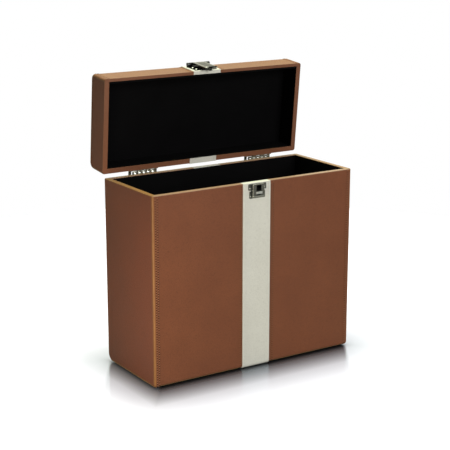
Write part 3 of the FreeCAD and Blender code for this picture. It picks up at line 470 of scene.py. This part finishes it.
def tidy_faces(made, angle=35):
    """Turns all faces outward and shades them smooth across gentle angles."""
    drawn = bmesh.new()
    drawn.from_mesh(made.data)
    bmesh.ops.recalc_face_normals(drawn, faces=drawn.faces)
    for face in drawn.faces:
        face.smooth = True
    for edge in drawn.edges:
        edge.smooth = len(edge.link_faces) == 2 and edge.calc_face_angle(0) < math.radians(angle)
    drawn.to_mesh(made.data)
    drawn.free()


tape_material = leather(
    "tape_leathercloth",
    leather_brown,
    leather_deep,
    leather_crease,
    grain=strip_grain,
    relief=0.45,
    roughness=0.46,
    wear_and_highlight=tape_gold_highlight,
)


def sweep_tape(half, side):
    """The tape along one side edge of one half."""
    sign = -1 if side == "left" else 1
    section, path = tape_section(), outline(half)
    points, wear_and_highlight = [], []
    for y, z, way_y, way_z in path:
        # the painted highlight is strongest on the body's upright runs
        wear = upright_gold if half == "body" and abs(way_y) > 0.9 else other_gold
        for inward, down, gold_amount in section:
            points.append((sign * (half_width - inward), y - way_y * down, z - way_z * down))
            wear_and_highlight.append(gold_amount * wear)
    tape_faces = ring_faces(len(path), len(section))
    made = link_mesh(f"{half}_{side}_edge_tape", put(half, points), tape_faces, tape_material)
    field = made.data.attributes.new("wear_and_highlight", "FLOAT", "POINT")
    field.data.foreach_set("value", wear_and_highlight)
    tidy_faces(made)
    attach(made, half)
    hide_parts(f"{half}_{side}_edge_binding")


for half in ("body", "lid"):
    for side in ("left", "right"):
        sweep_tape(half, side)

# --------------------------------------------------------------------------------------- stitching
# Rows of machine stitches in brown thread hold the tape and the edges of the cloth beside the band.
# Each stitch dips into a needle hole at both ends; the shade in each hole is painted as a low dark spot.
stitch_pitch = 3.8
# length, width and height
stitch_size = (2.7, 1.15, 0.34)
hole_size = (1.02, 0.84, 0.08)
thread_brown = (0.270, 0.110, 0.050)
thread_light = (0.350, 0.150, 0.075)
# painted shade: the dark inside each needle hole
hole_shade_dark = (0.008, 0.003, 0.002)
hole_shade_edge = (0.0144, 0.0054, 0.0036)
row_end = 1.6


def thread_finish(name, light, dark, shine):
    """Twisted thread: slanting ridges along its length."""
    material, tree, output = bare_material(name)
    spot = add_node(tree, "TexCoord").outputs["Object"]
    twist = add_node(
        tree,
        "TexWave",
        {"Vector": spot, "Scale": 700.0, "Distortion": 1.5, "Detail": 2.0},
        bands_direction="DIAGONAL",
    )
    bump = add_node(tree, "Bump", {"Height": twist.outputs["Fac"], "Strength": 0.6, "Distance": 0.0001})
    skin_over(
        tree,
        output,
        {
            "Base Color": blend(tree, twist.outputs["Fac"], dark, light),
            "Roughness": 0.62,
            "Specular IOR Level": shine,
            "Normal": bump.outputs[0],
        },
    )
    return material


thread_material = thread_finish("brown_thread", thread_light, thread_brown, shine=0.4)
hole_shade_material = thread_finish("needle_hole_shade", hole_shade_edge, hole_shade_dark, shine=0.02)


def along(path, pitch, lead, upright_only):
    """Evenly spaced spots on a path, each with the way out of it, as (y, z, outward y, outward z)."""
    lengths = [0.0]
    for one, two in zip(path, path[1:]):
        lengths.append(lengths[-1] + math.dist(one[:2], two[:2]))
    count = int(lengths[-1] / pitch)
    spare = (lengths[-1] - count * pitch) / 2
    made, leg = [], 0
    for i in range(count):
        reach = spare + (i + lead) * pitch
        if reach < row_end or reach + pitch / 2 > lengths[-1] - row_end:
            continue
        while leg < len(path) - 2 and lengths[leg + 1] < reach:
            leg += 1
        one, two = path[leg], path[leg + 1]
        part = (reach - lengths[leg]) / (lengths[leg + 1] - lengths[leg])
        y, z, out_y, out_z = [one[k] + (two[k] - one[k]) * part for k in range(4)]
        if not upright_only or abs(out_y) > 0.8:
            length = math.hypot(out_y, out_z)
            made.append((y, z, out_y / length, out_z / length))
    return made


def lozenge(middle, way, out, size, points, faces):
    """Adds one stitch: a short rounded thread that sinks in at both ends."""
    length, width, height = size
    across = way.cross(out)
    base = len(points)
    for part, swell in ((-0.42, 0.55), (-0.2, 0.95), (0.2, 0.95), (0.42, 0.55)):
        for i in range(6):
            turn = math.radians(60 * i + 30)
            side, rise = math.cos(turn) * width / 2 * swell, math.sin(turn) * height * swell
            points.append(middle + way * (part * length) + across * side + out * rise)
    points.append(middle - way * (length / 2) - out * (height * 0.4))
    points.append(middle + way * (length / 2) - out * (height * 0.4))
    for ring in range(3):
        for i in range(6):
            a, b = base + ring * 6 + i, base + ring * 6 + (i + 1) % 6
            faces.append((a, b, b + 6, a + 6))
    for i in range(6):
        faces.append((base + 24, base + (i + 1) % 6, base + i))
        faces.append((base + 25, base + 18 + i, base + 18 + (i + 1) % 6))


def button(middle, way, out, size, points, faces):
    """Adds one needle hole's painted shade: a low dark spot."""
    length, width, height = size
    across = way.cross(out)
    base = len(points)
    for i in range(8):
        turn = math.radians(45 * i)
        points.append(middle + way * (math.cos(turn) * length) + across * (math.sin(turn) * width))
    points.append(middle + out * height)
    points.append(middle - out * height)
    for i in range(8):
        a, b = base + i, base + (i + 1) % 8
        faces.append((a, b, base + 8))
        faces.append((b, a, base + 9))


def sew(half, name, rows, upright_only=False):
    """Rows of stitches round a half, and their needle holes."""
    threads, thread_faces, holes, hole_faces = [], [], [], []
    for x, rise, lead in rows:
        for y, z, out_y, out_z in along(outline(half), stitch_pitch, lead, upright_only):
            out = Vector((0, out_y, out_z))
            way = Vector((0, -out_z, out_y))
            middle = Vector((x, y, z)) + out * rise
            lozenge(middle, way, out, stitch_size, threads, thread_faces)
            end = middle + way * (stitch_pitch / 2)
            button(end, way, out, hole_size, holes, hole_faces)
    for part, points, faces, material in (
        ("stitches", threads, thread_faces, thread_material),
        ("needle_hole_shade", holes, hole_faces, hole_shade_material),
    ):
        made = link_mesh(f"{half}_{name}_{part}", put(half, points), faces, material)
        tidy_faces(made, angle=80)
        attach(made, half)


# each row: x, rise above the covering, lead in pitches
left_rows = [(4.5 - half_width, tape_rise, 0.25), (8.1 - half_width, tape_rise, 0.75)]
right_rows = [(half_width - 7.0, tape_rise, 0.5)]
band_rows = [(-27.9, 0.0, 0.5), (28.0, 0.0, 0.25), (31.6, 0.0, 0.75)]
for half in ("body", "lid"):
    sew(half, "left_tape", left_rows)
    sew(half, "right_tape", right_rows)
    sew(half, "band_edge", band_rows, upright_only=half == "body")

# ------------------------------------------------------------------------------------ rim bindings
# A strip of the cloth is glued over the raw edges of the boards on both rims, and its corners are
# pressed round. The body's strip is painted paler than the cloth, a painted sheen for its lit top;
# along the two sides it is painted less pale and more golden.
rim_brown = (0.226, 0.088, 0.043)
rim_deep = (0.198, 0.076, 0.036)
# painted sheen: the body's rim strip is paler than the cloth, less so and golden along the sides
rim_sheen_tan = (0.380, 0.222, 0.142)
rim_sheen_deep = (0.334, 0.190, 0.119)
side_sheen_gold = (0.262, 0.112, 0.034)
rim_mitre = (half_width - half_depth) * MM
rim_round = 0.00045
joined_within = 0.000002


def soften(name, width):
    """Rounds the sharp edges of a carried-over piece by modifiers."""
    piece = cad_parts[name]
    joined = piece.modifiers.new("joined", "WELD")
    joined.merge_threshold = joined_within
    rounded = piece.modifiers.new("rounded", "BEVEL")
    rounded.width = width
    rounded.segments = 2
    rounded.limit_method = "ANGLE"
    rounded.angle_limit = math.radians(30)
    rounded.harden_normals = False


rim_material = leather(
    "rim_leathercloth", rim_brown, rim_deep, leather_crease, grain=strip_grain, relief=0.4, roughness=0.42
)
rim_sheen_material = leather(
    "rim_sheen_leathercloth", rim_sheen_tan, rim_sheen_deep, rim_deep, grain=strip_grain, relief=0.4, roughness=0.38
)
tree = rim_sheen_material.node_tree
skin = next(node for node in tree.nodes if node.type == "BSDF_PRINCIPLED")
place = add_node(tree, "SeparateXYZ", {0: add_node(tree, "TexCoord").outputs["Object"]})
sideways, forward = [calculate(tree, "ABSOLUTE", place.outputs[axis]) for axis in (0, 1)]
past_mitre = calculate(tree, "GREATER_THAN", calculate(tree, "SUBTRACT", sideways, forward), rim_mitre)
rim_tone = blend(tree, past_mitre, skin.inputs["Base Color"].links[0].from_socket, side_sheen_gold)
tree.links.new(rim_tone, skin.inputs["Base Color"])
for half, material in (("body", rim_sheen_material), ("lid", rim_material)):
    for side in ("left", "right"):
        finish_nodes(material, f"{half}_{side}_rim_binding")
        soften(f"{half}_{side}_rim_binding", rim_round)

# -------------------------------------------------------------------------------------- white band
# A band of off-white leathercloth, its edges turned under, is glued up the front, over both rims,
# across the lid and down the back.
band_white = (0.700, 0.682, 0.600)
band_shade = (0.660, 0.640, 0.560)
band_crease = (0.480, 0.460, 0.395)
band_half, band_thick, band_root = 25.5, 1.0, 0.15
hem_width, hem_rise = 3.2, 0.18
band_bend = 0.8
inner_face = half_depth - 8.0
band_end = half_depth - 9.0


def band_path(half, faces):
    """The band's outer surface in the side view, from one inner rim or end to the other."""
    face = half_depth + band_thick
    rim, closed, inward, front, back = half_shapes[half]
    closed -= inward * band_thick
    front, back = front + band_thick, back + band_thick
    front_mid, back_mid = (front - face, closed + inward * front), (face - back, closed + inward * back)
    fold_mid = rim - inward * band_bend
    made = []
    if "front" in faces:
        made += [(-inner_face, rim, 0, inward), (-inner_face - 4, rim, 0, inward)]
        made += arc((band_bend - face, fold_mid), band_bend, inward * 90, 180 * inward, 4)
        made += straight((-face, fold_mid), (-face, front_mid[1]), (-1, 0))
        made += arc(front_mid, front, 180, 180 + inward * 90, 8)
    if faces == ("front",):
        made += [(-band_end, closed, 0, -inward)]
    elif faces == ("front", "back"):
        made += straight((front_mid[0], closed), (back_mid[0], closed), (0, -inward))
    if "back" in faces:
        made += arc(back_mid, back, -inward * 90, 0, 10)
        made += straight((face, back_mid[1]), (face, fold_mid), (1, 0))
        made += arc((face - band_bend, fold_mid), band_bend, 0, inward * 90, 4)
        made += [(inner_face + 4, rim, 0, inward), (inner_face, rim, 0, inward)]
    return made


def band_section():
    """Across the band: (x, depth below its flat face, share of the hem's rise)."""
    edge = [
        (band_half - hem_width - 0.5, 0.0, 0.0),
        (band_half - hem_width, 0.0, 0.9),
        (band_half - hem_width + 0.5, 0.0, 1.0),
        (band_half - 0.8, 0.0, 1.0),
        (band_half - 0.25, 0.15, 0.9),
        (band_half - 0.05, 0.45, 0.4),
        (band_half, band_thick + band_root, 0.0),
    ]
    return [(-x, depth, hem) for x, depth, hem in reversed(edge)] + [(-8, 0, 0), (8, 0, 0)] + edge


band_material = leather(
    "white_leathercloth",
    band_white,
    band_shade,
    band_crease,
    grain=0.0010,
    relief=0.35,
    roughness=0.48,
    sheen=0.05,
)


def lay_band(half, name, faces, node):
    """Sweeps the band over the faces of one half."""
    section, path = band_section(), band_path(half, faces)
    rim = half_shapes[half][0]
    points = []
    for y, z, way_y, way_z in path:
        flat = abs(z - rim) < 1.5
        for x, depth, hem in section:
            rise = 0 if flat else hem * hem_rise
            points.append((x, y + way_y * (rise - depth), z + way_z * (rise - depth)))
    made = link_mesh(name, put(half, points), ring_faces(len(path), len(section)), band_material)
    tidy_faces(made)
    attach(made, half)
    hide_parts(node)


lay_band("body", "front_band_strip", ("front",), "body_front_band")
lay_band("body", "back_band_strip", ("back",), "body_back_band")
lay_band("lid", "lid_band_strip", ("front", "back"), "lid_band")

# ----------------------------------------------------------------------------------------- linings
# Both halves are lined with black flocked paper, a short dense pile that gives back almost no light.
# A lip of the lid's lining is turned over the inner part of its front rim and glued down.
flock_black = (0.0014, 0.0013, 0.0015)
flock_grey = (0.0030, 0.0028, 0.0031)
lining_material, tree, output = bare_material("black_flock")
spot = add_node(tree, "TexCoord").outputs["Object"]
pile = add_node(tree, "TexNoise", {"Vector": spot, "Scale": 2400.0, "Detail": 3.0, "Roughness": 0.7})
stroked = add_node(tree, "TexNoise", {"Vector": spot, "Scale": 22.0, "Detail": 3.0})
flock_tone = blend(tree, stroked.outputs["Fac"], flock_black, flock_grey)
pile_bump = add_node(tree, "Bump", {"Height": pile.outputs["Fac"], "Strength": 0.8, "Distance": 0.0003})
skin_over(
    tree,
    output,
    {
        "Base Color": flock_tone,
        "Roughness": 0.95,
        "Specular IOR Level": 0.08,
        "Normal": pile_bump.outputs[0],
    },
)
finish_nodes(lining_material, "body_lining", "lid_lining")

lip_half, lip_reach, lip_drop, lip_thick = 176.0, 3.1, 2.6, 0.14
lip_sunk = 0.1
# from the front round the fold and down the inside, as (y, z)
lip_section = [
    (-inner_face - lip_reach, lid_rim + lip_sunk),
    (-inner_face - lip_reach, lid_rim - lip_thick * 0.4),
    (-inner_face - lip_reach + 0.2, lid_rim - lip_thick),
    (-inner_face - lip_sunk, lid_rim - lip_thick),
    (-inner_face + lip_thick, lid_rim + lip_sunk),
    (-inner_face + lip_thick, lid_rim + lip_drop),
    (-inner_face - lip_sunk, lid_rim + lip_drop),
    (-inner_face - lip_sunk, lid_rim + lip_sunk),
]
lip_points = [(x, y, z) for x in (-lip_half, lip_half) for y, z in lip_section]
lip_faces = ring_faces(2, len(lip_section))
lining_lip = link_mesh("lid_lining_lip", put("lid", lip_points), lip_faces, lining_material)
tidy_faces(lining_lip)
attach(lining_lip, "lid")

# -------------------------------------------------------------------------------------- base sheet
# A sheet of brown-black vulcanised fibre is glued under the case to carry the wear. It is pressed
# with a coarse pebble.
fibre_dark = (0.062, 0.052, 0.047)
fibre_pale = (0.088, 0.075, 0.068)
fibre_crease = (0.008, 0.007, 0.007)
base_material = leather(
    "black_fibre", fibre_pale, fibre_dark, fibre_crease, grain=0.0022, relief=0.6, roughness=0.6, sheen=0.0
)
finish_nodes(base_material, "base_sheet")

# ----------------------------------------------------------------------------------------- hinges
# Two nickel-plated butt hinges with stop tabs hold the lid on the back. Domed rivets fix them, and
# the pins are bright drawn steel.
nickel_light = (0.46, 0.46, 0.43)
nickel_warm = (0.35, 0.35, 0.32)
# nearly black, painted as shade inside the latch cover
painted_shade_black = (0.012, 0.012, 0.013)
pin_light, pin_dark = (0.58, 0.58, 0.57), (0.46, 0.46, 0.46)
leaf_round = 0.00025


def plated(name, light, dark, roughness, scratches, shade_box=None):
    """Plated metal, clouded and hair scratched. Inside the shade box it is painted nearly black: painted
    shade.
    """
    material, tree, output = bare_material(name)
    spot = add_node(tree, "TexCoord").outputs["Object"]
    clouds = add_node(tree, "TexNoise", {"Vector": spot, "Scale": 120.0, "Detail": 4.0})
    drawn = add_node(tree, "Mapping", {"Vector": spot, "Scale": (120.0, 2600.0, 2600.0)}).outputs[0]
    hair_feeds = {"Vector": drawn, "Scale": 1.0, "Detail": 4.0, "Roughness": 0.7}
    hairs = add_node(tree, "TexNoise", hair_feeds).outputs["Fac"]
    tone = blend(tree, clouds.outputs["Fac"], dark, light)
    if shade_box:
        place = add_node(tree, "SeparateXYZ", {0: spot})
        inside = 1.0
        for axis in range(3):
            for limit, operation in zip(shade_box, ("GREATER_THAN", "LESS_THAN")):
                test = calculate(tree, operation, place.outputs[axis], limit[axis])
                inside = calculate(tree, "MULTIPLY", inside, test)
        tone = blend(tree, inside, tone, painted_shade_black)
    shine = rescale(tree, hairs, 0.3, 0.7, roughness - 0.05, roughness + 0.08)
    bump = add_node(tree, "Bump", {"Height": hairs, "Strength": scratches, "Distance": 0.00005})
    feeds = {"Base Color": tone, "Roughness": shine, "Normal": bump.outputs[0], "Metallic": 1.0}
    skin_over(tree, output, feeds)
    return material


nickel_material = plated("bright_nickel", nickel_light, nickel_warm, roughness=0.16, scratches=0.25)
pin_material = plated("drawn_steel", pin_light, pin_dark, roughness=0.24, scratches=0.5)
leaves = [f"{side}_hinge_{half}_leaf" for side in ("left", "right") for half in ("body", "lid")]
finish_nodes(nickel_material, *leaves, "hinge_body_rivets", "hinge_lid_rivets")
finish_nodes(pin_material, "hinge_pins")
for name in leaves:
    soften(name, leaf_round)

# ------------------------------------------------------------------------------------------- latch
# The latch is pressed from nickel-plated sheet: a base plate under four rivets, a raised cover with
# a window for the tongue, and a spring bolt that the thumb bar pulls down.
wire_light, wire_dark = (0.12, 0.12, 0.13), (0.08, 0.08, 0.09)
# painted reflection: the bolt's nickel is a brighter copy of the plate's, to light the thumb bar
bolt_light, bolt_dark = (0.94, 0.94, 0.92), (0.82, 0.82, 0.79)
# painted shade: inside the cover the base plate and the bolt are painted nearly black
latch_inside = ((-0.00965, -0.0812, 0.2773), (0.00965, 0.0, 0.2972))
spring_material = plated("spring_wire", wire_light, wire_dark, roughness=0.35, scratches=0.4)
latch_material = plated(
    "latch_nickel", nickel_light, nickel_warm, roughness=0.2, scratches=0.25, shade_box=latch_inside
)
bolt_material = plated(
    "bolt_nickel", bolt_light, bolt_dark, roughness=0.3, scratches=0.25, shade_box=latch_inside
)
finish_nodes(latch_material, "latch_base_plate", "latch_cover")
finish_nodes(bolt_material, "latch_bolt")
finish_nodes(nickel_material, "latch_rivets")
coil_x, coil_y, coil_foot, coil_head = 7.5, -78.58, 277.7, 287.1
coil_radius, wire_radius, coil_pitch, coil_steps = 0.8, 0.18, 1.1, 16
plate_round = 0.00022


def wind_coil(side, points, faces):
    """Adds one coil spring, wound up from its foot."""
    climb = coil_head - coil_foot - 2 * wire_radius
    steps = round(climb / coil_pitch * coil_steps)
    faces += ring_faces(steps + 1, 6, len(points))
    for i in range(steps + 1):
        turn = side * math.tau * i / coil_steps
        outward = Vector((math.cos(turn), math.sin(turn), 0))
        middle = Vector((side * coil_x, coil_y, coil_foot + wire_radius + climb * i / steps))
        middle += outward * coil_radius
        for j in range(6):
            wire_turn = math.radians(60 * j)
            way = outward * math.cos(wire_turn) + Vector((0, 0, math.sin(wire_turn)))
            points.append(middle + way * wire_radius)


coil_points, coil_faces = [], []
for side in (-1, 1):
    wind_coil(side, coil_points, coil_faces)
coils = link_mesh("latch_coil_springs", put("body", coil_points), coil_faces, spring_material)
tidy_faces(coils, angle=80)
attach(coils, "body")
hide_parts("latch_springs")
# pressed a trace further than the bolt travels, so that the wire never meets it
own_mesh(coils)
finish_nodes(spring_material, "latch_springs")
soften("latch_base_plate", plate_round)

# -------------------------------------------------------------------------------------------- hasp
# The hasp turns on a pin in its own leaf, which four rivets fix to the front of the lid. It carries
# the tongue and a lip for the finger. A bright bead is pressed round its plate. The leaf and the
# plate are darker copies of the nickel, and the field inside the bead darker still: painted shade
# and painted dark reflections.
# painted shade and painted dark reflections: darker copies of the nickel for leaf, plate and field
leaf_light, leaf_dark = (0.060, 0.062, 0.065), (0.040, 0.041, 0.044)
hasp_light, hasp_dark = (0.20, 0.205, 0.19), (0.14, 0.145, 0.13)
field_shade_light, field_shade_dark = (0.060, 0.062, 0.056), (0.035, 0.037, 0.033)
dark_material = plated("dark_nickel", leaf_light, leaf_dark, roughness=0.2, scratches=0.3)
plate_material = plated("hasp_nickel", hasp_light, hasp_dark, roughness=0.22, scratches=0.3)
field_shade_material = plated("hasp_field_shaded_nickel", field_shade_light, field_shade_dark, roughness=0.36, scratches=0.6)
finish_nodes(dark_material, "hasp_leaf")
finish_nodes(plate_material, "hasp")
finish_nodes(nickel_material, "hasp_rivets")
finish_nodes(pin_material, "hasp_pin")
soften("hasp_leaf", plate_round)
hasp_face, hasp_low, hasp_high = -83.9, 289.6, 325.6
bead_half, bead_width, bead_rise, bead_corner = 9.7, 2.1, 0.4, 2.2
# across the bead from outside inward, as (reach inward, share of its rise)
bead_section = [(-0.1, -0.3), (0.0, 0.0), (0.25, 0.7), (0.7, 1.0)]
bead_section += [(1.4, 1.0), (1.85, 0.7), (2.1, 0.0), (2.2, -0.3)]
panel_section = [(bead_width - 0.3, -0.2), (bead_width - 0.2, 0.1), (bead_width + 0.5, 0.16)]


def rounded_outline(inset):
    """A rounded rectangle on the hasp, some way inside the bead's outer edge, as (x, z)."""
    made = []
    radius = max(bead_corner - inset, 0.3)
    side, low, high = bead_half - bead_corner, hasp_low + bead_corner, hasp_high - bead_corner
    for mid_x, mid_z, start in ((side, high, 0), (-side, high, 90), (-side, low, 180), (side, low, 270)):
        for i in range(5):
            turn = math.radians(start + 90 * i / 4)
            made.append((mid_x + radius * math.cos(turn), mid_z + radius * math.sin(turn)))
    return made


bead_points, panel_points = [], []
for inset, rise in bead_section:
    bead_points += [(x, hasp_face - bead_rise * rise, z) for x, z in rounded_outline(inset)]
for inset, rise in panel_section:
    panel_points += [(x, hasp_face - rise, z) for x, z in rounded_outline(inset)]
corners = len(rounded_outline(0.0))
bead_faces = ring_faces(len(bead_section), corners, looped=True)
panel_faces = ring_faces(len(panel_section), corners)
hasp_bead = link_mesh("hasp_bead", put("lid", bead_points), bead_faces, nickel_material)
hasp_panel = link_mesh("hasp_panel", put("lid", panel_points), panel_faces, field_shade_material)
for piece in (hasp_bead, hasp_panel):
    tidy_faces(piece, angle=50)
    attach(piece, "hasp")

# ------------------------------------------------------------------------------------------ handle
# A bent wire bail turns in two riveted brackets on the top of the lid. The grip is a padded sleeve of
# dark leathercloth, closed by a seam towards the lid with a row of stitches on each side.
bracket_round = 0.0003
brackets = [f"{side}_handle_bracket" for side in ("left", "right")]
finish_nodes(nickel_material, "handle_bail", "bracket_rivets", *brackets)
for name in brackets:
    soften(name, bracket_round)
grip_brown = (0.125, 0.047, 0.024)
grip_deep = (0.100, 0.036, 0.019)
grip_crease = (0.050, 0.018, 0.010)
grip_material = leather(
    "grip_leather", grip_brown, grip_deep, grip_crease, grain=0.0010, relief=0.5, roughness=0.42, sheen=0.1
)
grip_y, grip_z, grip_half = 36.0, 353.2, 44.0
seam_depth, seam_spread = 0.10, 0.11
fold_swell, fold_turn, fold_spread = 0.03, 0.26, 0.10
seam_stitch_turn, seam_pitch, seam_end = 0.36, 3.4, 7.0
seam_stitch_size = (2.4, 0.7, 0.22)
seam_hole_size = (0.5, 0.45, 0.06)
# along the sleeve: how far in from its end, and how far out
grip_profile = [
    (0.0, 2.15), (0.0, 4.3), (0.3, 4.9), (0.9, 5.15), (1.5, 5.15), (1.9, 4.85), (2.3, 5.2),
    (3.2, 5.9), (4.4, 6.45), (6.0, 6.9), (9.0, 7.2), (14.0, 7.38), (22.0, 7.46), (33.0, 7.5),
]
# round the sleeve: close steps beside the seam, wider ones over the rest
grip_turns = [0.06 * i for i in range(-10, 11)] + [0.6 + (math.tau - 1.2) * i / 25 for i in range(1, 25)]


def seam_dent(turn):
    """How the seam and the two folds beside it change the radius."""
    away = abs((turn + math.pi) % math.tau - math.pi)
    dent = seam_depth * math.exp(-((away / seam_spread) ** 2))
    swell = fold_swell * math.exp(-(((away - fold_turn) / fold_spread) ** 2))
    return 1 - dent + swell - fold_swell


def grip_spot(x, radius, turn):
    """A point on the sleeve; turn 0 is the seam."""
    out = radius * seam_dent(turn)
    return (x, grip_y - out * math.cos(turn), grip_z + out * math.sin(turn))


left_half = [(reach - grip_half, radius) for reach, radius in grip_profile]
grip_rings = left_half + [(-x, radius) for x, radius in reversed(left_half)]
sleeve_points = [grip_spot(x, radius, turn) for x, radius in grip_rings for turn in grip_turns]
sleeve_faces = ring_faces(len(grip_rings), len(grip_turns), looped=True)
grip_sleeve = link_mesh("grip_sleeve", put("lid", sleeve_points), sleeve_faces, grip_material)
tidy_faces(grip_sleeve, angle=50)
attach(grip_sleeve, "handle")
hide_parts("handle_grip")

seam_threads, seam_thread_faces, seam_holes, seam_hole_faces = [], [], [], []
seam_count = int(2 * (grip_half - seam_end) / seam_pitch)
for i in range(seam_count):
    x = (i - (seam_count - 1) / 2) * seam_pitch
    reach = grip_half - abs(x)
    below = max(k for k in range(len(grip_profile)) if grip_profile[k][0] <= reach)
    above = min(below + 1, len(grip_profile) - 1)
    (near, near_radius), (far, far_radius) = grip_profile[below], grip_profile[above]
    part = (reach - near) / (far - near) if far > near else 0
    radius = near_radius + (far_radius - near_radius) * part
    for turn in (-seam_stitch_turn, seam_stitch_turn):
        middle = Vector(grip_spot(x, radius, turn))
        way, out = Vector((1, 0, 0)), Vector((0, -math.cos(turn), math.sin(turn)))
        lozenge(middle, way, out, seam_stitch_size, seam_threads, seam_thread_faces)
        end = middle + way * (seam_pitch / 2)
        button(end, way, out, seam_hole_size, seam_holes, seam_hole_faces)
for part, points, faces, material in (
    ("stitches", seam_threads, seam_thread_faces, thread_material),
    ("needle_hole_shade", seam_holes, seam_hole_faces, hole_shade_material),
):
    made = link_mesh(f"grip_{part}", put("lid", points), faces, material)
    tidy_faces(made, angle=80)
    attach(made, "handle")
